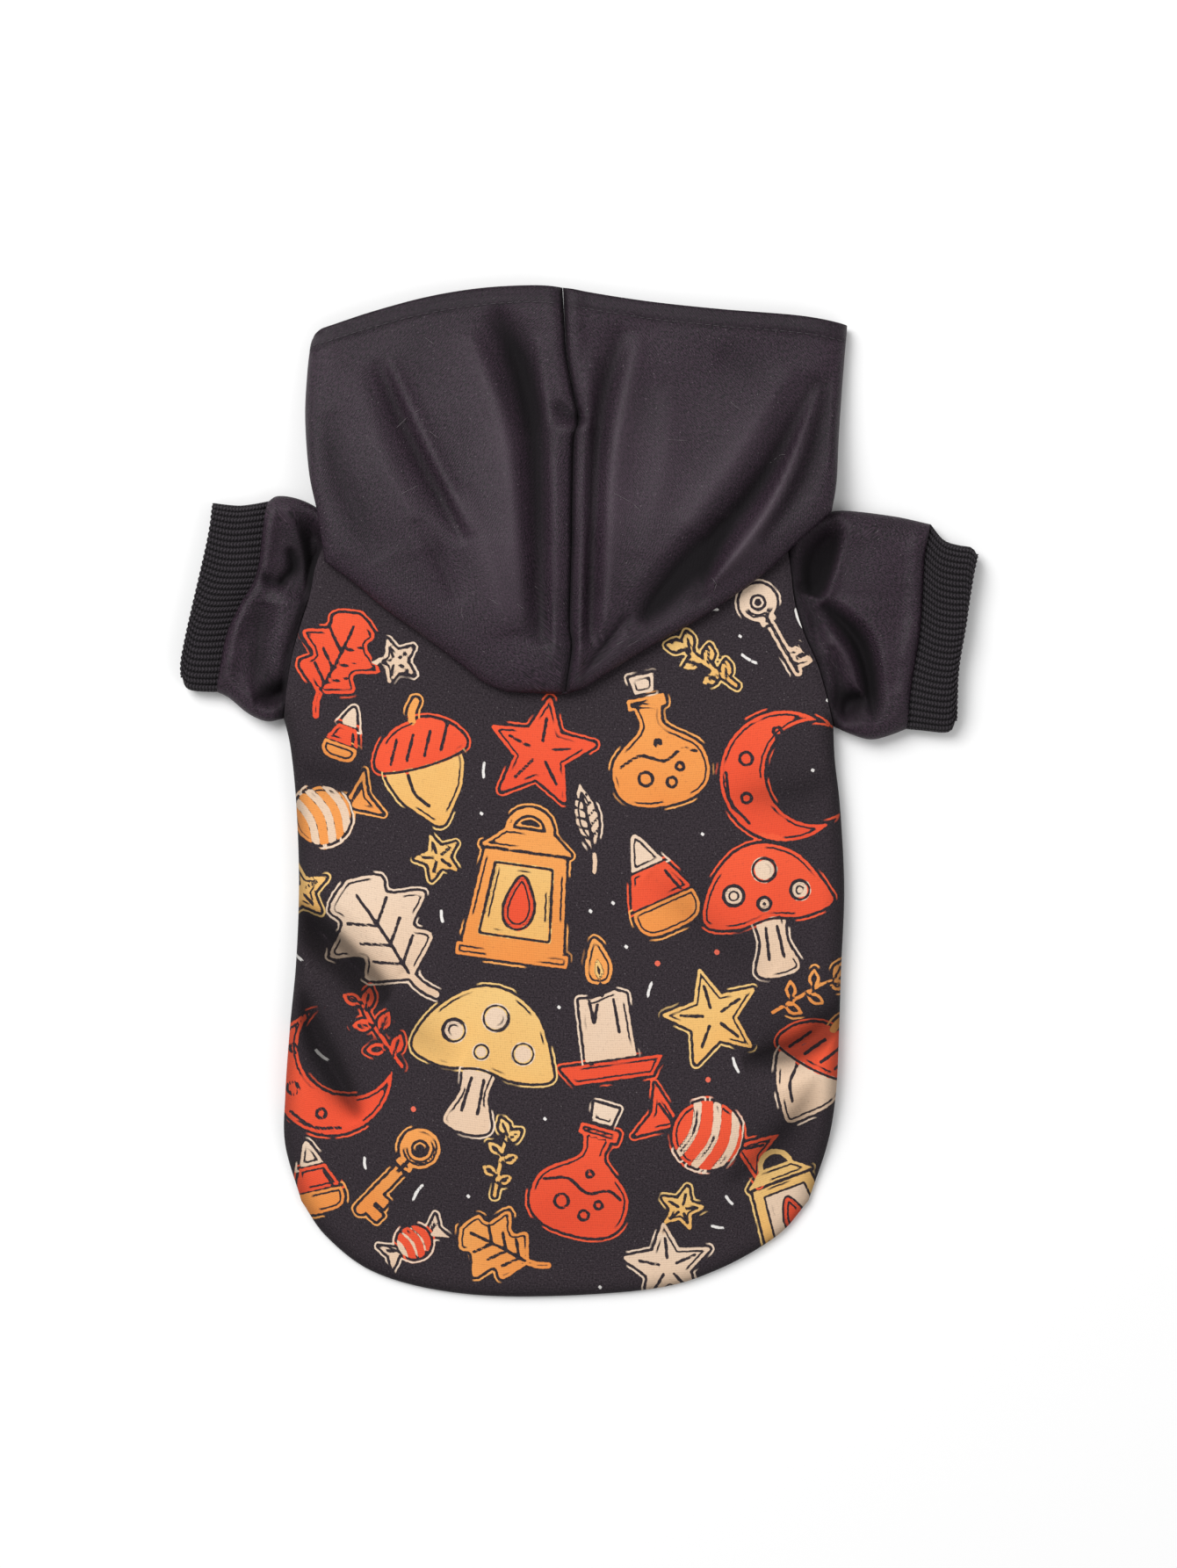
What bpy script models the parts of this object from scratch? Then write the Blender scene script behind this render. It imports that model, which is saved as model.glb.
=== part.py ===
"""Dog hoodie, laid flat with its back up.

X runs across the garment, Y runs from the tail hem up to the hood's mouth, Z is up.
Each piece is one sheet of cloth, laid out from outline tables and given its wall by Solidify.
"""

import math
from collections import namedtuple

import bmesh
import bpy
import numpy as np

# Driving sizes, in metres
BODY_WIDTH = 0.220
BODY_LENGTH = 0.313
BODY_HEIGHT = 0.012
HEM_HEIGHT = 0.0040
HEM_TURN = 0.006
BODY_WALL = 0.0012
EDGE_ROLL = 0.009
BACK_CROWN = 0.0015
HOOD_WIDTH = 0.214
HOOD_LENGTH = 0.163
HOOD_LOFT = 0.0062
MOUTH_HEIGHT = 0.0095
HOOD_CROWN = 0.002
HOOD_ROLL = 0.0045
HOOD_WALL = 0.0011
CUFF_WIDTH = 0.076
CUFF_HEIGHT = 0.0105
CUFF_WALL = 0.0012
SLEEVE_WALL = 0.0012
RIB_PITCH = 0.0023
RIB_DEPTH = 0.0007
SEAM_GAP = 0.0004
SIDE_SEAM_GAP = 0.0010
SHOULDER_SEAM_GAP = 0.0014
ARMHOLE_GAP = 0.0007
CUFF_GAP = 0.0007
NECK_SEAM_GAP = 0.0009
LAYER_GAP = 0.0003
NECK_CLEARANCE = 0.002
NECK_CLIMB = 0.009

# The side seams lie this far under the fold of the body's sides, reached over a
# share of a turn for each row below the underarm
SEAM_ANGLE = math.radians(35)
TURN_PER_ROW = 0.6

# Where the body thins to its hem, and where its hem turns under, in shares of its length
TAIL_START = 0.80
TAIL_SPAN = 0.18
HEM_TURN_SPAN = 0.7
HEM_ROLL = 0.55
HEM_STATIONS = 2.5

# Where the back starts to swell below the hood and ends at the hem, in shares of its
# length, and how far in from its folded edges, in shares of EDGE_ROLL
PUFF_START = 0.27
PUFF_SPAN = 0.10
PUFF_END = 0.05
PUFF_REACH = 2.2

# Above the neck line, in metres: where the hood comes down from the body to the surface
FLOOR_START = 0.004
FLOOR_SPAN = 0.035
ROOF_START = -0.010
ROOF_SPAN = 0.085
HOOD_FOLD_REACH = 2.5

Place = namedtuple("Place", "across down")
Fold = namedtuple("Fold", "start middle end width rise")
Dent = namedtuple("Dent", "across down reach depth")

# Outline of the body: across in shares of BODY_WIDTH from its centre line,
# down in shares of BODY_LENGTH from the neck line
NECK_LEFT = Place(-0.355, 0.000)
NECK_RIGHT = Place(0.346, 0.000)
SHOULDER_LEFT = Place(-0.427, 0.017)
SHOULDER_RIGHT = Place(0.387, 0.030)
UNDERARM_LEFT = Place(-0.520, 0.262)
UNDERARM_RIGHT = Place(0.474, 0.272)
TAIL_LEFT = Place(-0.490, 0.877)
TAIL_RIGHT = Place(0.430, 0.877)

ARMHOLE_LEFT = [
    Place(-0.458, 0.062),
    Place(-0.472, 0.107),
    Place(-0.491, 0.150),
    Place(-0.507, 0.195),
]
ARMHOLE_RIGHT = [
    Place(0.396, 0.075),
    Place(0.403, 0.115),
    Place(0.420, 0.155),
    Place(0.447, 0.200),
]
SIDE_LEFT = [
    Place(-0.508, 0.300),
    Place(-0.498, 0.370),
    Place(-0.493, 0.470),
    Place(-0.498, 0.570),
    Place(-0.509, 0.652),
    Place(-0.518, 0.740),
    Place(-0.519, 0.805),
]
SIDE_RIGHT = [
    Place(0.477, 0.315),
    Place(0.487, 0.380),
    Place(0.494, 0.480),
    Place(0.488, 0.585),
    Place(0.485, 0.652),
    Place(0.479, 0.740),
    Place(0.464, 0.805),
]
HEM = [
    Place(-0.445, 0.922),
    Place(-0.363, 0.966),
    Place(-0.240, 0.991),
    Place(-0.083, 0.999),
    Place(0.138, 0.990),
    Place(0.261, 0.966),
    Place(0.372, 0.922),
]

# Outline of the hood: across in shares of HOOD_WIDTH from the body's centre line,
# down in shares of HOOD_LENGTH from the neck line
MOUTH_SEAM = Place(-0.016, -0.547)
MOUTH_LEFT = [
    Place(-0.072, -0.552),
    Place(-0.168, -0.545),
    Place(-0.266, -0.524),
    Place(-0.366, -0.489),
    Place(-0.440, -0.457),
]
MOUTH_RIGHT = [
    Place(0.055, -0.530),
    Place(0.153, -0.511),
    Place(0.276, -0.494),
    Place(0.424, -0.478),
]
CORNER_LEFT = Place(-0.484, -0.440)
CORNER_RIGHT = Place(0.514, -0.457)
HOOD_SIDE_LEFT = [Place(-0.492, -0.334), Place(-0.495, -0.226), Place(-0.486, -0.097)]
HOOD_SIDE_RIGHT = [Place(0.506, -0.338), Place(0.497, -0.183), Place(0.491, -0.070)]
HOOD_NECK_LEFT = Place(-0.470, 0.000)
HOOD_NECK_RIGHT = Place(0.482, 0.000)
HOOD_SHOULDER_LEFT = Place(-0.456, 0.123)
HOOD_SHOULDER_RIGHT = Place(0.416, 0.078)
POINT_LEFT = [
    Place(-0.398, 0.179),
    Place(-0.344, 0.239),
    Place(-0.268, 0.310),
    Place(-0.200, 0.377),
    Place(-0.160, 0.418),
]
POINT_RIGHT = [
    Place(0.377, 0.129),
    Place(0.332, 0.177),
    Place(0.245, 0.256),
    Place(0.148, 0.328),
    Place(0.079, 0.384),
]
TIP_LEFT = Place(-0.117, 0.440)
TIP_RIGHT = Place(0.020, 0.434)
CENTRE_SEAM_TOP = [Place(-0.013, -0.399), Place(0.001, -0.291), Place(0.001, -0.175)]
CENTRE_SEAM_NECK = Place(-0.002, 0.000)
CENTRE_SEAM_POINT = [Place(-0.005, 0.200), Place(-0.004, 0.334)]
TIP_SEAM = Place(-0.012, 0.446)
CHIN = Place(-0.002, -0.250)

# Outlines of the sleeves and cuffs: out and down in shares of CUFF_WIDTH from the
# middle of the armhole, across counted away from the body
SLEEVE_TOP_LEFT = [Place(-0.042, -0.597), Place(0.065, -0.648), Place(0.167, -0.662)]
SLEEVE_TOP_RIGHT = [Place(0.019, -0.590), Place(0.157, -0.632), Place(0.435, -0.604)]
SLEEVE_FOOT_LEFT = [Place(0.227, 0.519), Place(0.324, 0.477), Place(0.421, 0.398)]
SLEEVE_FOOT_RIGHT = [Place(0.218, 0.539), Place(0.319, 0.567), Place(0.412, 0.549)]
CUFF_SEAM_LEFT = [
    Place(0.218, -0.634),
    Place(0.241, -0.486),
    Place(0.275, -0.250),
    Place(0.366, -0.080),
    Place(0.435, 0.080),
    Place(0.486, 0.365),
]
CUFF_SEAM_RIGHT = [
    Place(0.634, -0.562),
    Place(0.602, -0.400),
    Place(0.588, -0.137),
    Place(0.569, 0.058),
    Place(0.532, 0.280),
    Place(0.509, 0.512),
]
CUFF_EDGE_LEFT = [
    Place(0.500, -0.625),
    Place(0.512, -0.500),
    Place(0.556, -0.287),
    Place(0.606, -0.074),
    Place(0.665, 0.160),
    Place(0.672, 0.355),
]
CUFF_EDGE_RIGHT = [
    Place(0.884, -0.435),
    Place(0.843, -0.280),
    Place(0.810, -0.030),
    Place(0.773, 0.197),
    Place(0.759, 0.363),
    Place(0.745, 0.507),
]

# Folds of the hood's upper layer: places as on the hood, width in shares of
# HOOD_WIDTH, rise in shares of HOOD_LOFT (below zero is a valley)
HOOD_FOLDS = [
    Fold(Place(-0.133, -0.463), Place(-0.075, -0.228), Place(-0.056, 0.246), 0.030, -0.42),
    Fold(Place(-0.186, -0.360), Place(-0.130, -0.100), Place(-0.100, 0.200), 0.045, 0.24),
    Fold(Place(-0.349, -0.312), Place(-0.286, -0.106), Place(-0.212, 0.040), 0.028, -0.34),
    Fold(Place(-0.300, -0.330), Place(-0.240, -0.130), Place(-0.170, 0.150), 0.030, 0.24),
    Fold(Place(0.085, -0.388), Place(0.055, -0.175), Place(0.045, 0.211), 0.030, -0.40),
    Fold(Place(0.150, -0.350), Place(0.110, -0.080), Place(0.075, 0.230), 0.040, 0.26),
    Fold(Place(0.454, -0.272), Place(0.350, -0.065), Place(0.160, 0.211), 0.034, -0.56),
    Fold(Place(0.450, -0.244), Place(0.385, 0.020), Place(0.267, 0.177), 0.032, 0.38),
    Fold(Place(-0.010, -0.500), Place(0.000, -0.100), Place(-0.004, 0.400), 0.016, -0.16),
]

# Folds of the sleeves: places as on the sleeve outlines, width in shares of
# CUFF_WIDTH, rise in shares of BODY_HEIGHT
SLEEVE_FOLDS_LEFT = [
    Fold(Place(0.085, -0.560), Place(0.020, -0.480), Place(-0.030, -0.420), 0.060, -0.35),
    Fold(Place(0.263, 0.100), Place(0.275, 0.190), Place(0.296, 0.280), 0.080, -0.15),
    Fold(Place(0.150, 0.050), Place(0.170, 0.200), Place(0.180, 0.350), 0.090, 0.12),
]
SLEEVE_FOLDS_RIGHT = [
    Fold(Place(0.030, -0.520), Place(0.020, -0.350), Place(0.060, -0.210), 0.060, -0.40),
    Fold(Place(0.200, -0.560), Place(0.160, -0.380), Place(0.110, -0.250), 0.070, 0.15),
    Fold(Place(0.144, -0.067), Place(0.225, 0.120), Place(0.306, 0.303), 0.080, -0.25),
    Fold(Place(0.300, -0.100), Place(0.380, 0.100), Place(0.400, 0.300), 0.100, 0.12),
]

# Dents and swells of the back: places and reach in shares of BODY_WIDTH and
# BODY_LENGTH, depth in shares of BODY_HEIGHT
BACK_DENTS = [
    Dent(-0.415, 0.540, 0.10, 0.22),
    Dent(0.440, 0.650, 0.09, 0.25),
    Dent(-0.250, 0.470, 0.16, -0.10),
    Dent(0.260, 0.520, 0.16, -0.12),
    Dent(0.010, 0.640, 0.14, 0.08),
]

# Rows and columns of the sheets
SHOULDER_ROWS = (0.0, 0.5, 1.0)
ARMHOLE_ROWS = (0.0, 0.05, 0.16, 0.33, 0.50, 0.67, 0.84, 0.95, 1.0)
SIDE_ROWS = (0.0, 0.04, 0.12, 0.21, 0.30, 0.39, 0.48, 0.57, 0.66, 0.75, 0.84, 0.92, 0.980, 0.993, 1.0)
BELLY_LAST_ROW = 19
ROLL_STATIONS = (0.0, 0.05, 0.36, 1.0)
BACK_MIDDLE_COLUMNS = 16
BELLY_MIDDLE_COLUMNS = 8
HOOD_COLUMNS = 14
MOUTH_ROWS = (0.0, 0.08, 0.21, 0.34, 0.47, 0.60, 0.73, 0.87, 1.0)
NAPE_ROWS = (0.0, 0.5, 1.0)
POINT_ROWS = (0.0, 0.14, 0.28, 0.42, 0.56, 0.70, 0.83, 0.925, 0.98, 1.0)
SLEEVE_COLUMNS = 22
SLEEVE_SECTIONS = 6
FINE_STEPS = 240

CHARCOAL = (0.055, 0.041, 0.052, 1.0)
KNIT_BLACK = (0.030, 0.025, 0.030, 1.0)
PRINT_GROUND = (0.20, 0.10, 0.06, 1.0)


def clear_scene():
    for item in list(bpy.data.objects):
        bpy.data.objects.remove(item, do_unlink=True)


def smooth(value):
    share = np.clip(value, 0.0, 1.0)
    return share * share * (3.0 - 2.0 * share)


def on_body(place):
    return np.array([place.across * BODY_WIDTH, -place.down * BODY_LENGTH])


def on_hood(place):
    return np.array([place.across * HOOD_WIDTH, -place.down * HOOD_LENGTH])


def smooth_line(points, steps=FINE_STEPS):
    """A smooth curve through the points, as many short steps of equal length."""
    knots = np.array(points)
    padded = np.vstack([2 * knots[0] - knots[1], knots, 2 * knots[-1] - knots[-2]])
    share = np.linspace(0.0, 1.0, 16, endpoint=False)[:, None]
    runs = []
    for before, start, end, after in zip(padded, padded[1:], padded[2:], padded[3:]):
        bend = 2 * before - 5 * start + 4 * end - after
        twist = 3 * start - before - 3 * end + after
        runs.append(start + 0.5 * share * (end - before + share * (bend + share * twist)))
    runs.append(knots[-1:])
    curve = np.vstack(runs)
    return at_shares(curve, np.linspace(0.0, 1.0, steps + 1))


def at_shares(curve, shares):
    """Points at the given shares of a line's length."""
    steps = np.linalg.norm(np.diff(curve, axis=0), axis=1)
    travelled = np.concatenate([[0.0], np.cumsum(steps)])
    wanted = np.asarray(shares) * travelled[-1]
    columns = [np.interp(wanted, travelled, curve[:, axis]) for axis in range(curve.shape[1])]
    return np.stack(columns, axis=-1)


def length_of(curve):
    return float(np.linalg.norm(np.diff(curve, axis=0), axis=1).sum())


def stretches(*parts):
    """Rail points from stretches, each a list of its places and its shares of rows."""
    rail = []
    for points, shares in parts:
        run = at_shares(smooth_line(points), shares)
        rail.extend(run if not rail else run[1:])
    return np.array(rail)


def distance_to(points, lines):
    """Distance from each point to the nearest of the lines."""
    flat = points.reshape(-1, 2)
    nearest = np.full(len(flat), np.inf)
    for line in lines:
        for start, end in zip(line, line[1:]):
            run = end - start
            along = np.clip((flat - start) @ run / max(run @ run, 1e-12), 0.0, 1.0)
            gap = np.linalg.norm(flat - start - along[:, None] * run, axis=1)
            nearest = np.minimum(nearest, gap)
    return nearest.reshape(points.shape[:-1])


def roll(distance, width):
    """Share of its full height that a folded edge has at a distance from the fold."""
    inward = 1.0 - np.minimum(distance / width, 1.0)
    return np.sqrt(np.maximum(1.0 - inward * inward, 0.0))


def fold_rise(points, folds, to_plan, unit):
    """Height that the folds add at each point, in shares of their own measure."""
    rise = np.zeros(points.shape[:-1])
    for fold in folds:
        path = smooth_line([to_plan(fold.start), to_plan(fold.middle), to_plan(fold.end)], 12)
        reach = distance_to(points, [path]) / (fold.width * unit)
        rise += fold.rise * np.exp(-reach * reach)
    return rise


def dent_rise(points):
    rise = np.zeros(points.shape[:-1])
    for dent in BACK_DENTS:
        offset = points - on_body(dent)
        reach = np.linalg.norm(offset, axis=-1) / (dent.reach * BODY_WIDTH)
        rise -= dent.depth * BODY_HEIGHT * np.exp(-reach * reach)
    return rise


def fill(left, right, top, bottom, along, across):
    """Plan of a sheet between its four edges, at across shares for each row."""
    rows = []
    for index, share in enumerate(along):
        u = np.asarray(across[index])[:, None]
        sides = (1 - u) * left[index] + u * right[index]
        ends = (1 - share) * at_shares(top, u[:, 0]) + share * at_shares(bottom, u[:, 0])
        corners = (1 - share) * ((1 - u) * top[0] + u * top[-1])
        corners = corners + share * ((1 - u) * bottom[0] + u * bottom[-1])
        rows.append(sides + ends - corners)
    return np.array(rows)


def length_shares(rail):
    steps = np.linalg.norm(np.diff(rail, axis=0), axis=1)
    return np.concatenate([[0.0], np.cumsum(steps)]) / steps.sum()


def colour_material(name, colour, roughness):
    material = bpy.data.materials.new(name)
    material.use_nodes = True
    shader = material.node_tree.nodes["Principled BSDF"]
    shader.inputs["Base Color"].default_value = colour
    shader.inputs["Roughness"].default_value = roughness
    shader.inputs["Metallic"].default_value = 0.0
    return material


def grid_sheet(points):
    """A bmesh grid whose corners lie at points[row][column], and its corners by index."""
    rows, columns = points.shape[0] - 1, points.shape[1] - 1
    sheet = bmesh.new()
    bmesh.ops.create_grid(sheet, x_segments=columns, y_segments=rows, size=0.5)
    corners = {}
    for vert in sheet.verts:
        column = round((vert.co.x + 0.5) * columns)
        row = round((vert.co.y + 0.5) * rows)
        corners[row, column] = vert
    for (row, column), vert in corners.items():
        vert.co = points[row, column]
    return sheet, corners


def face_out(sheet):
    """Turns every face so that the sheet's outer side is its front."""
    sheet.normal_update()
    middle = np.mean([vert.co[:] for vert in sheet.verts], axis=0)
    outward = 0.0
    for face in sheet.faces:
        outward += (np.array(face.calc_center_median()) - middle) @ face.normal * face.calc_area()
    if outward < 0:
        bmesh.ops.reverse_faces(sheet, faces=sheet.faces[:])


def cloth(name, sheet, wall, material, collection):
    """A named object with its wall grown inward from the sheet."""
    face_out(sheet)
    mesh = bpy.data.meshes.new(name)
    sheet.to_mesh(mesh)
    sheet.free()
    mesh.materials.append(material)
    mesh.shade_smooth()
    piece = bpy.data.objects.new(name, mesh)
    collection.objects.link(piece)
    skin = piece.modifiers.new("Wall", "SOLIDIFY")
    skin.thickness = wall
    skin.offset = -1.0
    skin.use_even_offset = False
    skin.use_rim = True
    return piece


def body_rail(neck, shoulder, armhole, underarm, side, tail):
    """Left or right edge of the body from the neck to the tail hem."""
    return stretches(
        ([on_body(p) for p in (neck, shoulder)], SHOULDER_ROWS),
        ([on_body(p) for p in (shoulder, *armhole, underarm)], ARMHOLE_ROWS),
        ([on_body(p) for p in (underarm, *side, tail)], SIDE_ROWS),
    )


class Body:
    """Plan and heights that the body's two panels share."""

    def __init__(self):
        self.left = body_rail(
            NECK_LEFT, SHOULDER_LEFT, ARMHOLE_LEFT, UNDERARM_LEFT, SIDE_LEFT, TAIL_LEFT
        )
        self.right = body_rail(
            NECK_RIGHT, SHOULDER_RIGHT, ARMHOLE_RIGHT, UNDERARM_RIGHT, SIDE_RIGHT, TAIL_RIGHT
        )
        self.neck = np.array([on_body(NECK_LEFT), on_body(NECK_RIGHT)])
        self.hem = smooth_line([on_body(p) for p in (TAIL_LEFT, *HEM, TAIL_RIGHT)])
        self.along = 0.5 * (length_shares(self.left) + length_shares(self.right))
        self.rows = len(self.left)
        self.shoulder_row = len(SHOULDER_ROWS) - 1
        self.underarm_row = self.shoulder_row + len(ARMHOLE_ROWS) - 1
        down = self.along
        self.tail = smooth((down - TAIL_START) / TAIL_SPAN)
        belly_end = down[BELLY_LAST_ROW]
        self.turned = smooth((down - belly_end) / (HEM_TURN_SPAN * (1.0 - belly_end)))
        self.edge_height = BODY_HEIGHT + (HEM_HEIGHT - BODY_HEIGHT) * self.tail
        self.roll_width = EDGE_ROLL + (HEM_ROLL * HEM_HEIGHT - EDGE_ROLL) * self.tail
        self.shape_plan()

    def width_at(self, row):
        if row == self.rows - 1:
            return length_of(self.hem)
        return float(np.linalg.norm(self.right[row] - self.left[row]))

    def across(self, middle):
        """Column shares of each row: close together in the folded edges."""
        rows = []
        for row in range(self.rows):
            width = self.width_at(row)
            reach = max(self.roll_width[row], HEM_STATIONS * HEM_HEIGHT * self.turned[row])
            edge = [reach / width * share for share in ROLL_STATIONS]
            flat = list(np.linspace(edge[-1], 1.0 - edge[-1], middle + 1)[1:-1])
            rows.append(edge + flat + [1.0 - share for share in reversed(edge)])
        return rows

    def plan(self, across):
        return fill(self.left, self.right, self.neck, self.hem, self.along, across)

    def shape_plan(self):
        """The folded edges that the heights are measured from: shoulders, sides and hem."""
        hem_points = self.plan(self.across(BACK_MIDDLE_COLUMNS))[-1]
        self.closed = [
            self.left[: self.shoulder_row + 1],
            self.right[: self.shoulder_row + 1],
            np.vstack(
                [
                    self.left[self.underarm_row :],
                    hem_points[1:-1],
                    self.right[self.underarm_row :][::-1],
                ]
            ),
        ]

    def seam_turn(self, row):
        """How far under the fold the side seam lies, from 0 at the underarm to 1."""
        rows = row - self.underarm_row
        return float(np.clip(TURN_PER_ROW * rows, 0.0, 1.0))


def back_points(body):
    plan = body.plan(body.across(BACK_MIDDLE_COLUMNS))
    distance = distance_to(plan, body.closed)
    half = 0.5 * body.edge_height[:, None]
    height = half + half * roll(distance, body.roll_width[:, None])
    inside = 1.0 - np.exp(-((distance / (PUFF_REACH * EDGE_ROLL)) ** 2))
    below_hood = smooth((body.along[:, None] - PUFF_START) / PUFF_SPAN)
    hem_fade = smooth((1.0 - body.along[:, None]) / PUFF_END)
    swell = BACK_CROWN + dent_rise(plan)
    height = height + swell * inside * below_hood * hem_fade
    return np.dstack([plan, height])


def back_panel(body, material, collection):
    points = back_points(body)
    sheet, corners = grid_sheet(points)
    last_row, last_column = body.rows - 1, points.shape[1] - 1
    first = body.underarm_row
    border = [(row, 0) for row in range(first, last_row + 1)]
    border += [(last_row, column) for column in range(1, last_column)]
    border += [(row, last_column) for row in range(last_row, first - 1, -1)]
    for row in (*range(body.shoulder_row + 1), first):
        gap = SIDE_SEAM_GAP if row == first else SHOULDER_SEAM_GAP
        for column in (0, last_column):
            corners[row, column].co.z += 0.5 * gap
    turn_under(sheet, [corners[place] for place in border], [row for row, _ in border], body)
    return cloth("back_panel", sheet, BODY_WALL, material, collection)


def smooth_run(line, reach):
    """Direction of a line at each of its points, taken over a reach to either side."""
    steps = np.linalg.norm(np.diff(line, axis=0), axis=1)
    travelled = np.concatenate([[0.0], np.cumsum(steps)])
    ahead = at_shares(line, np.minimum(travelled + reach, travelled[-1]) / travelled[-1])
    behind = at_shares(line, np.maximum(travelled - reach, 0.0) / travelled[-1])
    return ahead - behind


def grow_edge(sheet, loop):
    """Extrudes a run of corners and returns the new ones in the same order."""
    edges = [sheet.edges.get(pair) for pair in zip(loop, loop[1:])]
    grown = bmesh.ops.extrude_edge_only(sheet, edges=edges)["geom"]
    fresh = {item for item in grown if isinstance(item, bmesh.types.BMVert)}
    partners = []
    for vert in loop:
        ends = [edge.other_vert(vert) for edge in vert.link_edges]
        partners.append(next(end for end in ends if end in fresh))
    return partners


def turn_under(sheet, loop, rows, body):
    """Carries the panel round its folded edge, to the side seams and the turned hem."""
    edge = np.array([vert.co[:2] for vert in loop])
    run = smooth_run(edge, 1.5 * HEM_HEIGHT)
    inward = np.stack([-run[:, 1], run[:, 0]], axis=1)
    inward /= np.linalg.norm(inward, axis=1)[:, None]
    for step in (1, 2):
        fresh = []
        for index, row in enumerate(rows):
            half = 0.5 * body.edge_height[row]
            hem = body.turned[row]
            angle = SEAM_ANGLE + (math.pi / 2 - SEAM_ANGLE) * hem
            angle *= body.seam_turn(row) * step / 2.0
            slip = 0.5 * SIDE_SEAM_GAP * (1.0 - hem) * (step == 2)
            reach = body.roll_width[row] * (1.0 - math.cos(angle))
            reach += HEM_TURN * hem * (step == 2)
            place = edge[index] + inward[index] * reach
            fresh.append((place[0], place[1], half - half * math.sin(angle) + slip))
        loop = grow_edge(sheet, loop)
        for vert, point in zip(loop, fresh):
            vert.co = point
    bmesh.ops.remove_doubles(sheet, verts=sheet.verts[:], dist=1e-5)
    bmesh.ops.recalc_face_normals(sheet, faces=sheet.faces[:])


def belly_panel(body, material, collection):
    """The under panel, whose edges lie on the side seams under the folds."""
    rows = range(BELLY_LAST_ROW + 1)
    reach = []
    for row in rows:
        half = 0.5 * body.edge_height[row]
        angle = SEAM_ANGLE * body.seam_turn(row)
        speed = math.hypot(body.roll_width[row] * math.sin(angle), half * math.cos(angle))
        if row <= body.shoulder_row:
            angle += 0.5 * SHOULDER_SEAM_GAP / speed
        elif row >= body.underarm_row:
            angle += 0.5 * SIDE_SEAM_GAP / speed
        reach.append(body.roll_width[row] * (1.0 - math.cos(angle)))
    reach = np.array(reach)[:, None]
    rails = []
    for rail, side in ((body.left, 1.0), (body.right, -1.0)):
        run = np.gradient(rail, axis=0)[: len(rows)]
        inward = side * np.stack([-run[:, 1], run[:, 0]], axis=1)
        inward /= np.linalg.norm(inward, axis=1)[:, None]
        rails.append(rail[: len(rows)] + inward * reach)
    left, right = rails
    across = body.across(BELLY_MIDDLE_COLUMNS)[: len(rows)]
    neck = np.array([left[0], right[0]])
    plan = fill(left, right, neck, body.hem, body.along[: len(rows)], across)
    distance = distance_to(plan, body.closed)
    half = 0.5 * body.edge_height[: len(rows), None]
    height = half - half * roll(distance, body.roll_width[: len(rows), None])
    sheet, _ = grid_sheet(np.dstack([plan, height]))
    return cloth("belly_panel", sheet, BODY_WALL, material, collection)


def hood_rails(side):
    """Outer edge and centre seam of one half of the hood, row by row."""
    if side < 0:
        outer = (CORNER_LEFT, HOOD_SIDE_LEFT, HOOD_NECK_LEFT, HOOD_SHOULDER_LEFT)
        point, tip = POINT_LEFT, TIP_LEFT
    else:
        outer = (CORNER_RIGHT, HOOD_SIDE_RIGHT, HOOD_NECK_RIGHT, HOOD_SHOULDER_RIGHT)
        point, tip = POINT_RIGHT, TIP_RIGHT
    corner, flank, neck, shoulder = outer
    border = stretches(
        ([on_hood(p) for p in (corner, *flank, neck)], MOUTH_ROWS),
        ([on_hood(p) for p in (neck, shoulder)], NAPE_ROWS),
        ([on_hood(p) for p in (shoulder, *point, tip)], POINT_ROWS),
    )
    middle_share = CENTRE_SEAM_NECK.down + 0.5 * (shoulder.down + neck.down)
    nape = Place(CENTRE_SEAM_NECK.across, middle_share + 0.03)
    point_line = ([on_hood(p) for p in (nape, *CENTRE_SEAM_POINT, TIP_SEAM)], POINT_ROWS)
    nape_line = ([on_hood(CENTRE_SEAM_NECK), on_hood(nape)], NAPE_ROWS)
    upper_line = [on_hood(p) for p in (MOUTH_SEAM, *CENTRE_SEAM_TOP, CENTRE_SEAM_NECK)]
    lower_line = [on_hood(CHIN), on_hood(CENTRE_SEAM_NECK)]
    upper = stretches((upper_line, MOUTH_ROWS), nape_line, point_line)
    lower = stretches((lower_line, MOUTH_ROWS), nape_line, point_line)
    shift = np.array([side * 0.5 * SEAM_GAP, 0.0])
    return border, upper + shift, lower + shift


def hood_floor(points, over_neck):
    """Underside of the hood: on the surface by the throat, over the body past the neck."""
    lift = BODY_HEIGHT + LAYER_GAP
    up = points[..., 1]
    climb = smooth(1.0 - (up - FLOOR_START) / FLOOR_SPAN)
    beside = np.ones_like(climb)
    for neck, side in ((NECK_LEFT, -1.0), (NECK_RIGHT, 1.0)):
        out = side * points[..., 0]
        past = smooth((out - abs(neck.across) * BODY_WIDTH - NECK_CLEARANCE) / NECK_CLIMB)
        beside = np.where(out > 0, past, beside)
    throat = lift * climb * beside
    return np.where(over_neck, lift, throat)


def hood_roof(points):
    """Top of the hood before its folds."""
    full = BODY_HEIGHT + LAYER_GAP + HOOD_LOFT
    climb = smooth(1.0 - (points[..., 1] - ROOF_START) / ROOF_SPAN)
    return MOUTH_HEIGHT + (full - MOUTH_HEIGHT) * climb


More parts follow.
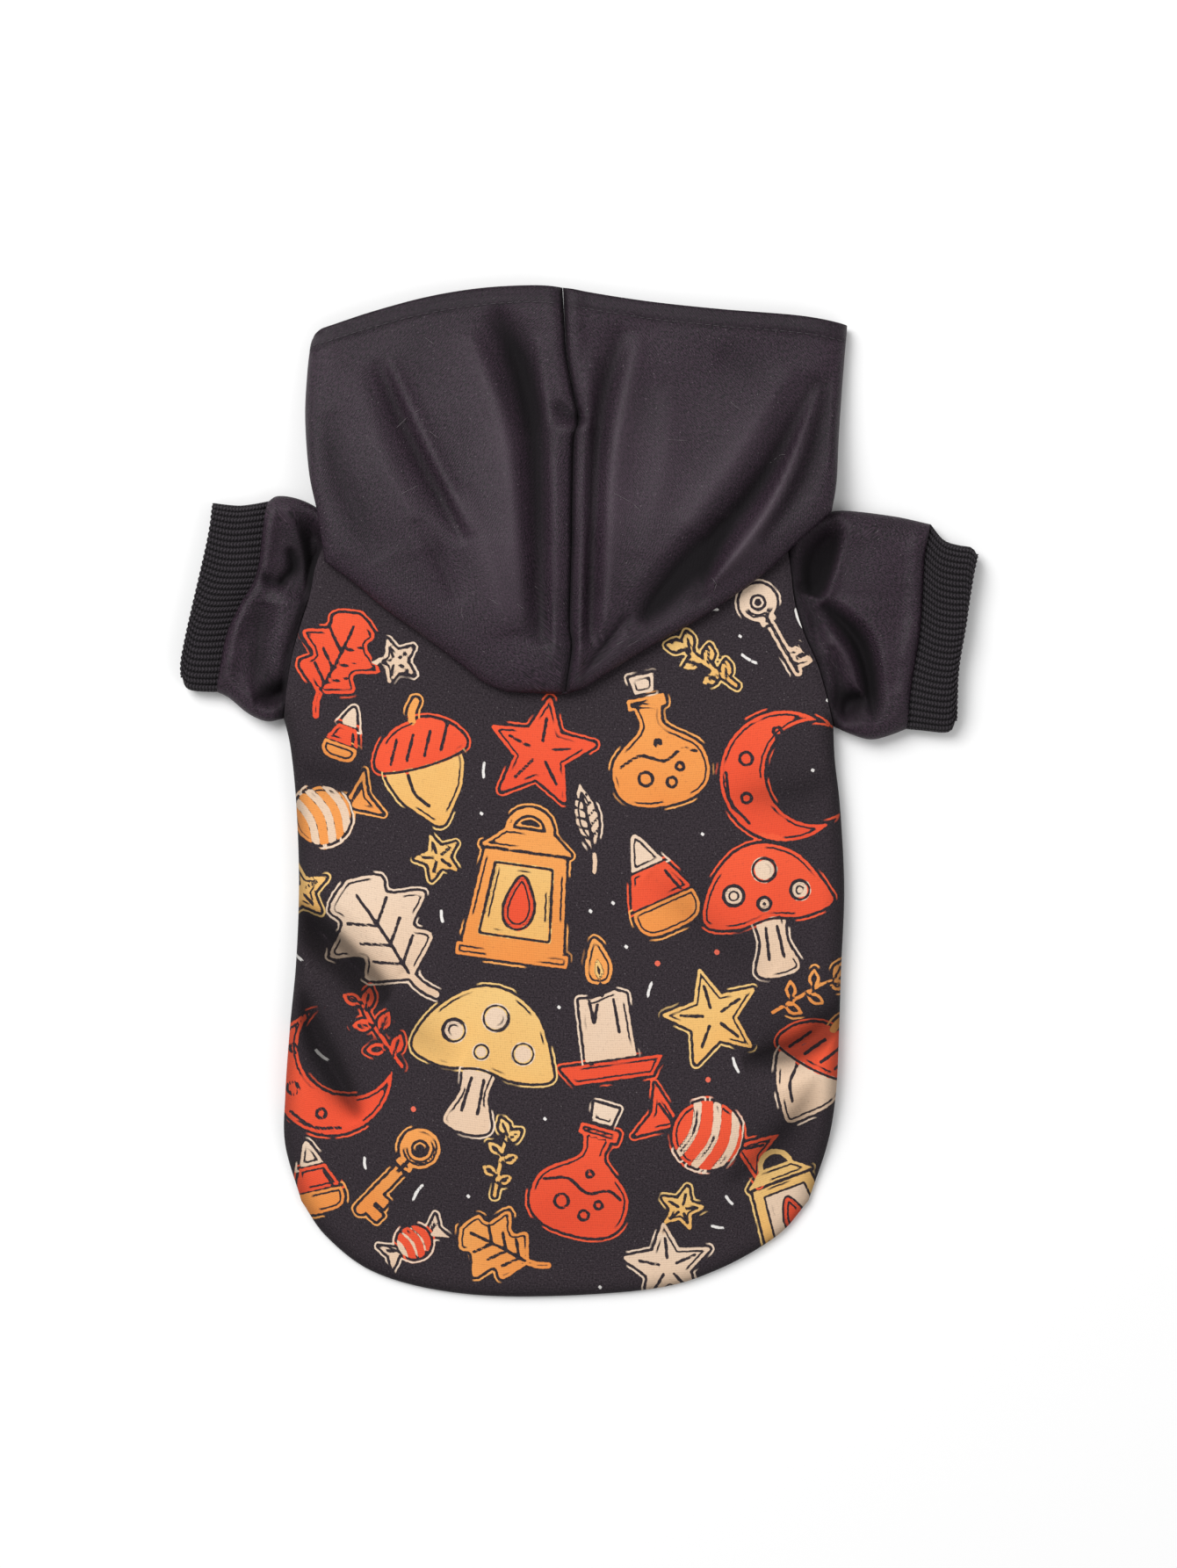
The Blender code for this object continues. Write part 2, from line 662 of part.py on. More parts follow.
def hood_half(name, side, material, collection):
    border, upper_seam, lower_seam = hood_rails(side)
    rows = len(border)
    neck_row = len(MOUTH_ROWS) - 1
    mouth = MOUTH_LEFT if side < 0 else MOUTH_RIGHT
    corner = CORNER_LEFT if side < 0 else CORNER_RIGHT
    lip = smooth_line([upper_seam[0]] + [on_hood(p) for p in (*mouth, corner)])
    tip = np.array([upper_seam[-1], border[-1]])
    along = length_shares(border)
    widths = np.linalg.norm(border - upper_seam, axis=1)
    reach = HOOD_ROLL / np.maximum(widths, 3 * HOOD_ROLL)
    steps = HOOD_COLUMNS - len(ROLL_STATIONS) + 1
    across = []
    for share in reach:
        flat = list(np.linspace(0.0, 1.0 - share, steps + 1)[:-1])
        across.append(flat + [1.0 - share * s for s in reversed(ROLL_STATIONS)])
    upper_plan = fill(upper_seam, border, lip, tip, along, across)
    chin_lip = np.array([lower_seam[0], border[0]])
    lower_plan = fill(lower_seam, border, chin_lip, tip, along, across)
    closed = [np.vstack([border, upper_seam[-1:]])]
    over_neck = (np.arange(rows) > neck_row)[:, None] & np.ones(len(across[0]), bool)
    heights = []
    for plan in (upper_plan, lower_plan):
        floor = hood_floor(plan, over_neck)
        roof = hood_roof(plan)
        distance = distance_to(plan, closed)
        heights.append((floor, roof, roll(distance, HOOD_ROLL), distance))
    floor, roof, rolled, distance = heights[0]
    top = 0.5 * (floor + roof) + 0.5 * (roof - floor) * rolled
    inside = 1.0 - np.exp(-((distance / (HOOD_FOLD_REACH * HOOD_ROLL)) ** 2))
    folds = fold_rise(upper_plan, HOOD_FOLDS, on_hood, HOOD_WIDTH) * HOOD_LOFT
    top = top + (HOOD_CROWN + folds) * inside
    floor, roof, rolled, _ = heights[1]
    bottom = 0.5 * (floor + roof) - 0.5 * (roof - floor) * rolled
    upper = np.dstack([upper_plan, top])
    lower = np.dstack([lower_plan, bottom])[:, ::-1]
    points = np.concatenate([upper, lower[:, 1:]], axis=1)
    sheet, corners = grid_sheet(points)
    open_neck(sheet, corners, neck_row, points.shape[1] - 1, side)
    bmesh.ops.remove_doubles(sheet, verts=sheet.verts[:], dist=1e-5)
    return cloth(name, sheet, HOOD_WALL, material, collection)


def open_neck(sheet, corners, neck_row, last_column, side):
    """Slits the lower layer along the neck line, where the body's neck comes in."""
    neck = NECK_LEFT if side < 0 else NECK_RIGHT
    slit_end = abs(neck.across) * BODY_WIDTH + NECK_CLEARANCE + NECK_CLIMB
    lift = BODY_HEIGHT + LAYER_GAP
    slit = []
    for column in range(HOOD_COLUMNS + 1, last_column):
        edge_ends = (corners[neck_row, column], corners[neck_row, column + 1])
        if abs(edge_ends[1].co.x) < slit_end:
            slit.append(sheet.edges.get(edge_ends))
    bmesh.ops.split_edges(sheet, edges=slit)
    for vert in sheet.verts:
        faces = vert.link_faces
        if abs(vert.co.y) > 1e-6 or vert.co.z > 0.5 * (lift + MOUTH_HEIGHT) + 0.5 * HOOD_LOFT:
            continue
        if not vert.is_boundary:
            continue
        below = all(face.calc_center_median().y < 0 for face in faces)
        if below:
            vert.co.z = lift
        elif all(face.calc_center_median().y > 0 for face in faces):
            vert.co.y = NECK_SEAM_GAP


class Sleeve:
    """Rails that one sleeve and its cuff share."""

    def __init__(self, side, body):
        self.side = side
        rail = body.left if side < 0 else body.right
        first, last = body.shoulder_row, body.underarm_row
        self.armhole = rail[first : last + 1]
        self.middle = 0.5 * (self.armhole[0] + self.armhole[-1])
        left = side < 0
        seam = CUFF_SEAM_LEFT if left else CUFF_SEAM_RIGHT
        edge = CUFF_EDGE_LEFT if left else CUFF_EDGE_RIGHT
        top = SLEEVE_TOP_LEFT if left else SLEEVE_TOP_RIGHT
        foot = SLEEVE_FOOT_LEFT if left else SLEEVE_FOOT_RIGHT
        self.folds = SLEEVE_FOLDS_LEFT if left else SLEEVE_FOLDS_RIGHT
        self.seam = smooth_line([self.plan(p) for p in seam])
        self.edge = smooth_line([self.plan(p) for p in edge])
        run = np.gradient(self.armhole, axis=0)
        outward = -side * np.stack([run[:, 1], -run[:, 0]], axis=1)
        outward /= np.linalg.norm(outward, axis=1)[:, None]
        self.root = self.armhole + outward * ARMHOLE_GAP
        self.top = smooth_line([self.root[0]] + [self.plan(p) for p in top] + [self.seam[0]])
        self.foot = smooth_line([self.root[-1]] + [self.plan(p) for p in foot] + [self.seam[-1]])

    def plan(self, place):
        offset = np.array([self.side * place.across, -place.down]) * CUFF_WIDTH
        return self.middle + offset


def ring_shares(width, height, roll_width, count):
    """Shares across a flattened tube, evenly spaced round its section."""
    fine = 0.5 * width * (1.0 - np.cos(np.linspace(0.0, math.pi, 400)))
    edge = np.minimum(fine, width - fine)
    section = np.stack([fine, 0.5 * height * roll(edge, roll_width)], axis=1)
    return at_shares(section, np.linspace(0.0, 1.0, count + 1))[:, 0] / width


def tube_sheet(rails, start, end, along, heights, columns, swell, ripple=0.0):
    """A flattened tube between two rails: its upper layer, then back along its lower one."""
    top_rail, foot_rail = rails
    tops = at_shares(top_rail, along)
    feet = at_shares(foot_rail, along)
    across = []
    for top, foot, height in zip(tops, feet, heights):
        width = float(np.linalg.norm(foot - top))
        across.append(ring_shares(width, height, EDGE_ROLL, columns // 2))
    plan = fill(tops, feet, start, end, along, across)
    widths = np.linalg.norm(feet - tops, axis=1)[:, None]
    shares = np.array(across)
    distance = np.minimum(shares, 1.0 - shares) * widths
    half = 0.5 * np.asarray(heights)[:, None]
    rolled = roll(distance, EDGE_ROLL)
    upper = half + half * rolled + swell(plan, distance)
    lower = half - half * rolled
    wave = ripple * np.where(np.arange(columns // 2 + 1) % 2, 1.0, -1.0)
    fade = smooth(distance / (0.5 * EDGE_ROLL))
    upper = upper + wave * fade
    lower = lower + (ripple - wave) * fade
    points = np.concatenate(
        [np.dstack([plan, upper]), np.dstack([plan, lower])[:, ::-1][:, 1:]], axis=1
    )
    sheet, _ = grid_sheet(points)
    bmesh.ops.remove_doubles(sheet, verts=sheet.verts[:], dist=1e-5)
    return sheet


def no_swell(plan, distance):
    return np.zeros(plan.shape[:-1])


def sleeve(name, parts, material, collection):
    """A short sleeve from the armhole to its cuff seam."""
    along = np.linspace(0.0, 1.0, SLEEVE_SECTIONS + 1)
    seam_height = BODY_HEIGHT + (CUFF_HEIGHT - BODY_HEIGHT) * smooth((along - 0.4) / 0.6)

    def swell(plan, distance):
        ends = np.sin(np.pi * along)[:, None]
        inside = 1.0 - np.exp(-((distance / EDGE_ROLL) ** 2))
        folds = fold_rise(plan, parts.folds, parts.plan, CUFF_WIDTH) * BODY_HEIGHT
        return folds * inside * np.minimum(1.0, 1.6 * ends)

    rails = (parts.top, parts.foot)
    sheet = tube_sheet(
        rails, parts.root, parts.seam, along, seam_height, SLEEVE_COLUMNS, swell
    )
    return cloth(name, sheet, SLEEVE_WALL, material, collection)


def cuff(name, parts, material, collection):
    """A ribbed cuff from its seam to its outer edge."""
    ribs = round(CUFF_WIDTH / RIB_PITCH)
    shift = np.array([parts.side * CUFF_GAP, 0.0])
    start = parts.seam + shift
    rails = (
        np.array([start[0], parts.edge[0]]),
        np.array([start[-1], parts.edge[-1]]),
    )
    sheet = tube_sheet(
        rails,
        start,
        parts.edge,
        np.array([0.0, 1.0]),
        [CUFF_HEIGHT, CUFF_HEIGHT],
        4 * ribs,
        no_swell,
        0.5 * RIB_DEPTH,
    )
    return cloth(name, sheet, CUFF_WALL, material, collection)


def centre_on_floor(pieces):
    """Moves the pieces so that the middle of their box's foot is the origin."""
    bpy.context.view_layer.update()
    graph = bpy.context.evaluated_depsgraph_get()
    corners = []
    for piece in pieces:
        shape = piece.evaluated_get(graph)
        corners.extend(shape.matrix_world @ vert.co for vert in shape.data.vertices)
    spread = np.array(corners)
    low, high = spread.min(axis=0), spread.max(axis=0)
    move = (-(low[0] + high[0]) / 2, -(low[1] + high[1]) / 2, -low[2])
    for piece in pieces:
        for vert in piece.data.vertices:
            vert.co.x += move[0]
            vert.co.y += move[1]
            vert.co.z += move[2]


def build():
    clear_scene()
    collection = bpy.data.collections.new("dog_hoodie")
    bpy.context.scene.collection.children.link(collection)
    jersey = colour_material("printed_jersey", PRINT_GROUND, 0.85)
    twill = colour_material("black_twill", CHARCOAL, 0.5)
    knit = colour_material("rib_knit", KNIT_BLACK, 0.9)
    body = Body()
    pieces = [
        back_panel(body, jersey, collection),
        belly_panel(body, twill, collection),
        hood_half("hood_left", -1, twill, collection),
        hood_half("hood_right", 1, twill, collection),
    ]
    for name, side in (("left", -1), ("right", 1)):
        parts = Sleeve(side, body)
        pieces.append(sleeve("sleeve_" + name, parts, twill, collection))
        pieces.append(cuff("cuff_" + name, parts, knit, collection))
    centre_on_floor(pieces)


build()
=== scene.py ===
"""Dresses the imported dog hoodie: cloth with its folds, knit and print, stitches and a plain stage.

X runs across the garment, Y from the tail hem up to the hood's mouth, Z up, in metres.
"""

import math
from collections import namedtuple

import bmesh
import bpy
import numpy as np
from mathutils import Matrix, Vector


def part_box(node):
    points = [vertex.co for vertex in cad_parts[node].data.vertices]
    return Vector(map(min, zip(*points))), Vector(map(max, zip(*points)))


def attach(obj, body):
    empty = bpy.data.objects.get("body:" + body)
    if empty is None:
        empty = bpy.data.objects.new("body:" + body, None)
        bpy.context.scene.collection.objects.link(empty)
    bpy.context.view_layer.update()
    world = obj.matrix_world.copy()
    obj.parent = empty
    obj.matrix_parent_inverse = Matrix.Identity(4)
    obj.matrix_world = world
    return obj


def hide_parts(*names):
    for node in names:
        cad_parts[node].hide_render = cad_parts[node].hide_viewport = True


bl_info = {
    "name": "Dog hoodie",
    "version": (1, 0, 0),
    "blender": (4, 5, 0),
    "location": "View3D > Sidebar > Hoodie",
    "description": "Lays out a dog hoodie with its cloth, print, stitches and a plain stage",
    "category": "Object",
}

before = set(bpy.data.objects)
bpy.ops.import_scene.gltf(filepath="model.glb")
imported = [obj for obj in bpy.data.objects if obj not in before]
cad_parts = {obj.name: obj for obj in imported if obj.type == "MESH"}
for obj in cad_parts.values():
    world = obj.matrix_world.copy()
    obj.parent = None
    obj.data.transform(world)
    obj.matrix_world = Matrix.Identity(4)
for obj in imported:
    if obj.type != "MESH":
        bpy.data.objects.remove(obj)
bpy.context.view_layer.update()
LEFT, RIGHT = -1, 1
SIDES = {"left": LEFT, "right": RIGHT}
Steps = namedtuple("Steps", "shoulder armhole side across")

# Sizes of the cut, in metres
BODY_WIDTH = 0.220
BODY_LENGTH = 0.313
BODY_HEIGHT = 0.012
HEM_HEIGHT = 0.0040
HEM_TURN = 0.006
BODY_WALL = 0.0012
EDGE_ROLL = 0.009
BACK_CROWN = 0.0015
HOOD_WIDTH = 0.214
HOOD_LENGTH = 0.163
HOOD_LOFT = 0.0062
MOUTH_HEIGHT = 0.0095
HOOD_CROWN = 0.002
HOOD_ROLL = 0.0045
HOOD_WALL = 0.0011
CUFF_WIDTH = 0.076
CUFF_HEIGHT = 0.0105
CUFF_WALL = 0.0012
SLEEVE_WALL = 0.0012
LAYER_GAP = 0.0003
NECK_CLEARANCE = 0.002
NECK_CLIMB = 0.009
NECK_SEAM_GAP = 0.0009
SEAM_GAP = 0.00012
CUFF_SEAM_GAP = 0.0002
SEAM_ANGLE = math.radians(35)
BELLY_TUCK = 0.04
TINY = 1e-12
WELD = 1e-5

# Shares of the body's length: where it thins to the hem, and where the belly ends
TAIL_START, TAIL_SPAN = 0.80, 0.18
HEM_TURN_SPAN = 0.7
HEM_ROLL = 0.55
BELLY_END = 0.75
UNDERARM_BLEND = 0.03
PUFF_START, PUFF_SPAN = 0.27, 0.10
PUFF_END = 0.05
PUFF_REACH = 2.2

# Above the neck line: where the hood comes down from the body to the surface
FLOOR_START, FLOOR_SPAN = 0.004, 0.035
ROOF_START, ROOF_SPAN = -0.010, 0.085

# Folds: how deep, how near to an edge, and how much of them lies in painted shade, with painted
# highlight on their crests; painted shade also along edges and seams
HOOD_FOLD_REACH = 1.3
BACK_FOLD_REACH = 0.6
FOLD_DEPTH = 1.25
FOLD_FLOOR = 0.0028
CREST = 0.35
BACK_SHADE = 0.42
HOOD_SHADE = 1.0
SLEEVE_SHADE = 0.50
EDGE_SHADE, EDGE_SHADE_DEPTH = 0.0045, 0.7
ROOT_SHADE = 0.0035
SEAM_SHADE = 0.0013
SEAM_SHADE_DEPTH = 0.8

# Ridges and grooves along seams: rise, width and, where it isn't 0, distance from the seam
ARMHOLE_GROOVE = (-0.0011, 0.0016)
CENTRE_GROOVE = (-0.0016, 0.0016)
CENTRE_WELT = {LEFT: (0.0004, 0.0024, 0.0048), RIGHT: (0.0007, 0.0024, 0.0048)}
STITCH_GROOVE = (-0.0005, 0.0009)
ROOT_GROOVE = (-0.0022, 0.0022)
CUFF_WELT = (0.0014, 0.0028, 0.0035)
CUFF_GROOVE = (-0.0012, 0.0010)
KNIT_GROOVE = (-0.0014, 0.0035)
HEM_STEP, HEM_STEP_WIDTH = 0.0005, 0.0008
HEM_TONE_WIDTH = 0.0010
LIP_DROP, LIP_SPAN = 0.0016, 0.8
LIP_CALM = 1.8
ROOT_FREE, CUFF_FREE = 0.003, 0.006
GATHER_REACH = 0.010
SLEEVE_TAPER = 0.4
RIB_FADE = 0.35

# Slight unevenness of laid cloth: seed, length and height of its waves
WAVES = 14
BACK_WAVES = (5, 0.055, 0.00028)
HOOD_WAVES = (11, 0.045, 0.00030)
SLEEVE_WAVES = (21, 0.030, 0.00035)
GATHER_WAVES = (41, 0.011, 0.0004)
CUFF_WAVES = (31, 0.020, 0.00025)

# Outline of the body: across in shares of BODY_WIDTH from its centre line,
# down in shares of BODY_LENGTH from the neck line
NECK = {LEFT: (-0.355, 0.0), RIGHT: (0.346, 0.0)}
SHOULDER = {LEFT: (-0.427, 0.017), RIGHT: (0.387, 0.03)}
ARMHOLE = {
    LEFT: ((-0.458, 0.062), (-0.472, 0.107), (-0.491, 0.15), (-0.507, 0.195)),
    RIGHT: ((0.396, 0.075), (0.403, 0.115), (0.42, 0.155), (0.447, 0.2)),
}
UNDERARM = {LEFT: (-0.52, 0.262), RIGHT: (0.474, 0.272)}
SIDE = {
    LEFT: (
        (-0.508, 0.3), (-0.498, 0.37), (-0.493, 0.47), (-0.498, 0.57), (-0.509, 0.652),
        (-0.518, 0.74), (-0.519, 0.805),
    ),
    RIGHT: (
        (0.477, 0.315), (0.487, 0.38), (0.494, 0.48), (0.488, 0.585), (0.485, 0.652),
        (0.479, 0.74), (0.464, 0.805),
    ),
}
TAIL = {LEFT: (-0.49, 0.877), RIGHT: (0.43, 0.877)}
HEM = (
    (-0.445, 0.922), (-0.363, 0.966), (-0.24, 0.991), (-0.083, 0.999), (0.138, 0.99),
    (0.261, 0.966), (0.372, 0.922),
)

# Outline of the hood: across in shares of HOOD_WIDTH, down in shares of HOOD_LENGTH
MOUTH = {
    LEFT: (
        (-0.072, -0.552), (-0.168, -0.545), (-0.266, -0.524), (-0.366, -0.489), (-0.44, -0.457),
        (-0.463, -0.4475),
    ),
    RIGHT: ((0.055, -0.53), (0.153, -0.511), (0.276, -0.494), (0.424, -0.478)),
}
CORNER = {LEFT: (-0.4785, -0.435), RIGHT: (0.514, -0.457)}
HOOD_SIDE = {
    LEFT: ((-0.4855, -0.41), (-0.492, -0.334), (-0.495, -0.226), (-0.486, -0.097)),
    RIGHT: ((0.506, -0.338), (0.497, -0.183), (0.491, -0.07)),
}
HOOD_NECK = {LEFT: (-0.47, 0.0), RIGHT: (0.482, 0.0)}
HOOD_SHOULDER = {LEFT: (-0.456, 0.123), RIGHT: (0.416, 0.078)}
POINT = {
    LEFT: ((-0.398, 0.179), (-0.344, 0.239), (-0.268, 0.31), (-0.2, 0.377), (-0.16, 0.418)),
    RIGHT: ((0.377, 0.129), (0.332, 0.177), (0.245, 0.256), (0.148, 0.328), (0.079, 0.384)),
}
TIP = {LEFT: (-0.117, 0.44), RIGHT: (0.02, 0.434)}
CENTRE_SEAM_TOP = (
    (-0.016, -0.547), (-0.012, -0.45), (-0.009, -0.385), (0.004, -0.29), (0.012, -0.24),
    (0.012, -0.208), (0.004, -0.168),
)
CENTRE_SEAM_NECK = (0.001, 0.0)
CENTRE_SEAM_POINT = ((-0.002, 0.202), (-0.003, 0.284), (0.001, 0.336), (-0.012, 0.446))
CHIN = (-0.002, -0.25)
NAPE_SHIFT = 0.03

# Sleeves and cuffs: shares of CUFF_WIDTH from the middle of the armhole, across outward
SLEEVE_TOP = {
    LEFT: ((-0.042, -0.597), (0.065, -0.648), (0.167, -0.662)),
    RIGHT: ((0.019, -0.59), (0.157, -0.632), (0.435, -0.604)),
}
SLEEVE_FOOT = {
    LEFT: ((0.227, 0.519), (0.324, 0.477), (0.421, 0.398)),
    RIGHT: ((0.218, 0.539), (0.319, 0.567), (0.412, 0.549)),
}
CUFF_SEAM = {
    LEFT: (
        (0.218, -0.634), (0.241, -0.486), (0.275, -0.25), (0.366, -0.08), (0.435, 0.08),
        (0.486, 0.365),
    ),
    RIGHT: (
        (0.634, -0.562), (0.602, -0.4), (0.588, -0.137), (0.569, 0.058), (0.532, 0.28),
        (0.509, 0.512),
    ),
}
CUFF_EDGE = {
    LEFT: (
        (0.5, -0.625), (0.512, -0.5), (0.556, -0.287), (0.606, -0.074), (0.66, 0.18),
        (0.668, 0.29),
    ),
    RIGHT: (
        (0.878, -0.405), (0.848, -0.28), (0.81, -0.03), (0.773, 0.197), (0.765, 0.363),
        (0.766, 0.47),
    ),
}
CUFF_TOP = {
    LEFT: ((0.283, -0.622), (0.361, -0.612), (0.43, -0.616)),
    RIGHT: ((0.704, -0.48), (0.782, -0.452), (0.852, -0.44)),
}
CUFF_FOOT = {
    LEFT: ((0.56, 0.364), (0.625, 0.356), (0.654, 0.335)),
    RIGHT: ((0.62, 0.523), (0.7, 0.531), (0.745, 0.52)),
}

# Folds: start, middle and end of the path, width in shares of the piece's width,
# and rise in shares of HOOD_LOFT on the hood and of BODY_HEIGHT elsewhere
HOOD_FOLDS = (
    ((-0.14, -0.5), (-0.072, -0.228), (-0.056, 0.33), 0.026, -0.95),
    ((-0.145, -0.48), (-0.1, -0.35), (-0.072, -0.18), 0.03, -0.26),
    ((-0.19, -0.44), (-0.118, -0.16), (-0.088, 0.3), 0.03, 0.6),
    ((-0.064, -0.43), (-0.036, -0.15), (-0.03, 0.38), 0.014, 0.45),
    ((-0.36, -0.37), (-0.296, -0.17), (-0.195, 0.08), 0.015, -0.62),
    ((-0.338, -0.37), (-0.272, -0.18), (-0.18, 0.06), 0.012, 0.42),
    ((-0.4, -0.34), (-0.345, -0.13), (-0.26, 0.11), 0.03, 0.22),
    ((-0.29, 0.02), (-0.25, 0.1), (-0.205, 0.23), 0.014, -0.3),
    ((-0.2, -0.06), (-0.165, 0.06), (-0.11, 0.3), 0.034, 0.35),
    ((0.094, -0.45), (0.045, -0.17), (0.034, 0.33), 0.018, -0.85),
    ((0.125, -0.43), (0.08, -0.14), (0.06, 0.32), 0.024, 0.55),
    ((0.04, -0.4), (0.026, -0.08), (0.014, 0.4), 0.011, 0.45),
    ((0.46, -0.33), (0.345, -0.06), (0.13, 0.27), 0.022, -1.0),
    ((0.462, -0.31), (0.374, -0.02), (0.24, 0.21), 0.018, 0.95),
    ((0.41, -0.35), (0.29, -0.09), (0.11, 0.2), 0.034, 0.42),
    ((0.29, 0.02), (0.258, 0.11), (0.236, 0.24), 0.014, -0.5),
    ((0.24, 0.06), (0.18, 0.17), (0.11, 0.3), 0.04, -0.42),
    ((0.488, -0.36), (0.435, -0.1), (0.35, 0.09), 0.02, -0.6),
    ((0.27, -0.38), (0.35, -0.33), (0.42, -0.28), 0.03, -0.22),
    ((0.11, 0.25), (0.062, 0.33), (0.02, 0.41), 0.012, -0.45),
    ((-0.03, -0.265), (0.0, -0.235), (0.03, -0.225), 0.01, -0.45),
    ((-0.034, -0.205), (0.0, -0.195), (0.04, -0.215), 0.01, 0.35),
    ((-0.45, -0.24), (-0.42, -0.06), (-0.35, 0.12), 0.026, -0.35),
    ((0.18, -0.3), (0.17, -0.1), (0.13, 0.12), 0.04, 0.25),
)
SLEEVE_FOLDS = {
    LEFT: (
        ((0.02, -0.7), (-0.034, -0.4), (-0.052, -0.11), 0.085, -1.15),
        ((0.13, -0.64), (0.04, -0.4), (0.02, -0.15), 0.036, 0.3),
        ((0.104, -0.39), (0.086, -0.285), (0.16, -0.2), 0.02, -0.34),
        ((0.26, -0.27), (0.205, -0.215), (0.11, -0.195), 0.022, -0.34),
        ((0.235, -0.1), (0.262, 0.13), (0.29, 0.36), 0.07, -0.34),
        ((0.12, -0.16), (0.15, 0.1), (0.17, 0.36), 0.08, 0.16),
        ((0.29, 0.42), (0.19, 0.395), (0.06, 0.33), 0.05, -1.05),
        ((0.38, -0.06), (0.4, 0.12), (0.4, 0.35), 0.06, 0.12),
        ((-0.02, -0.02), (0.06, 0.24), (0.08, 0.48), 0.046, -0.6),
    ),
    RIGHT: (
        ((0.135, -0.62), (0.062, -0.364), (0.014, -0.18), 0.068, -1.2),
        ((0.215, -0.6), (0.15, -0.364), (0.085, -0.16), 0.034, 0.36),
        ((-0.06, -0.26), (0.01, -0.08), (0.07, 0.12), 0.036, -0.3),
        ((0.07, -0.15), (0.27, 0.09), (0.348, 0.49), 0.046, -0.8),
        ((0.13, -0.18), (0.345, 0.03), (0.42, 0.43), 0.05, 0.2),
        ((0.27, 0.33), (0.2, 0.4), (0.165, 0.56), 0.042, -1.1),
        ((0.06, -0.04), (0.19, 0.14), (0.26, 0.34), 0.044, 0.34),
        ((0.1, 0.08), (0.15, 0.26), (0.14, 0.42), 0.034, -0.3),
    ),
}
BACK_FOLDS = (
    ((-0.56, 0.47), (-0.452, 0.538), (-0.33, 0.62), 0.026, -0.85),
    ((-0.54, 0.44), (-0.41, 0.5), (-0.3, 0.58), 0.034, 0.3),
    ((-0.4, 0.57), (-0.32, 0.64), (-0.2, 0.7), 0.04, -0.18),
    ((-0.49, 0.6), (-0.46, 0.67), (-0.38, 0.77), 0.022, -0.6),
    ((0.54, 0.59), (0.44, 0.668), (0.31, 0.7), 0.026, -0.62),
    ((0.54, 0.64), (0.44, 0.715), (0.33, 0.74), 0.03, 0.2),
    ((0.46, 0.7), (0.39, 0.785), (0.28, 0.86), 0.03, -0.34),
    ((0.14, 0.46), (0.25, 0.53), (0.36, 0.59), 0.04, -0.16),
    ((0.54, 0.31), (0.42, 0.355), (0.28, 0.365), 0.036, -0.22),
    ((-0.56, 0.3), (-0.45, 0.335), (-0.33, 0.345), 0.034, -0.22),
)
# Dents of the back: place, reach in shares of BODY_WIDTH, depth in shares of BODY_HEIGHT
BACK_DENTS = (
    ((-0.415, 0.54), 0.1, 0.22),
    ((0.44, 0.65), 0.09, 0.25),
    ((-0.25, 0.47), 0.16, -0.1),
    ((0.26, 0.52), 0.16, -0.12),
    ((0.01, 0.64), 0.14, 0.08),
)

# Cells of the grids
BACK_STEPS = Steps(4, 52, 212, 320)
INSIDE_STEPS = Steps(2, 14, 40, 56)
BELLY_STEPS = Steps(3, 24, 64, 84)
HOOD_STEPS = Steps(12, 50, 46, 62)
ORIGIN_STEPS = Steps(2, 8, 20, 24)
EDGE_CELLS = 8
TURN_CELLS = 6
SLEEVE_SECTIONS = 46
SLEEVE_COLUMNS = 84
CUFF_ROWS = 12
CUFF_TURN_ANGLES = (30, 60, 90, 120, 150)
RIB_CELLS = 8
FINE_STEPS = 240
KNOT_STEPS = 16
FOLD_STEPS = 20
SECTION_STEPS = 400


def smooth(value):
    share = np.clip(value, 0.0, 1.0)
    return share * share * (3.0 - 2.0 * share)


def bell(value):
    return np.exp(-value * value)


def crease(value):
    """Section of a crease in cloth: narrow at its crest, with wide slopes."""
    return np.exp(CREST - np.sqrt(value * value + CREST * CREST))


def ridge(distance, rise, width, offset=0.0):
    """A ridge at an offset from a line, or a groove where the rise is below zero."""
    return rise * bell((distance - offset) / width)


def on_body(places):
    return np.multiply(places, (BODY_WIDTH, -BODY_LENGTH))


def on_hood(places):
    return np.multiply(places, (HOOD_WIDTH, -HOOD_LENGTH))


def travel(line):
    """Distance travelled along a line at each of its points."""
    return np.concatenate([[0.0], np.cumsum(np.linalg.norm(np.diff(line, axis=0), axis=1))])


def at_shares(line, shares):
    """Points at the given shares of a line's length."""
    travelled = travel(line)
    wanted = np.asarray(shares) * travelled[-1]
    return np.stack([np.interp(wanted, travelled, part) for part in line.T], axis=-1)


def curve(knots, steps):
    """Points of a smooth curve from its second knot up to the last but one."""
    share = np.linspace(0.0, 1.0, steps, endpoint=False)[:, None]
    runs = []
    for before, start, end, after in zip(knots, knots[1:], knots[2:], knots[3:]):
        bend = 2 * before - 5 * start + 4 * end - after
        twist = 3 * start - before - 3 * end + after
        runs.append(start + 0.5 * share * (end - before + share * (bend + share * twist)))
    return np.vstack(runs)


def smooth_line(points, steps=FINE_STEPS):
    """A smooth line through the points, as steps of equal length."""
    knots = np.array(points, float)
    padded = np.vstack([2 * knots[0] - knots[1], knots, 2 * knots[-1] - knots[-2]])
    line = np.vstack([curve(padded, KNOT_STEPS), knots[-1:]])
    return at_shares(line, np.linspace(0.0, 1.0, steps + 1))


def rail(to_plan, *parts):
    """Rail points from stretches, each a list of its places and its count of steps."""
    points = []
    for places, steps in parts:
        run = at_shares(smooth_line(to_plan(places)), np.linspace(0.0, 1.0, steps + 1))
        points.extend(run if not points else run[1:])
    return np.array(points)


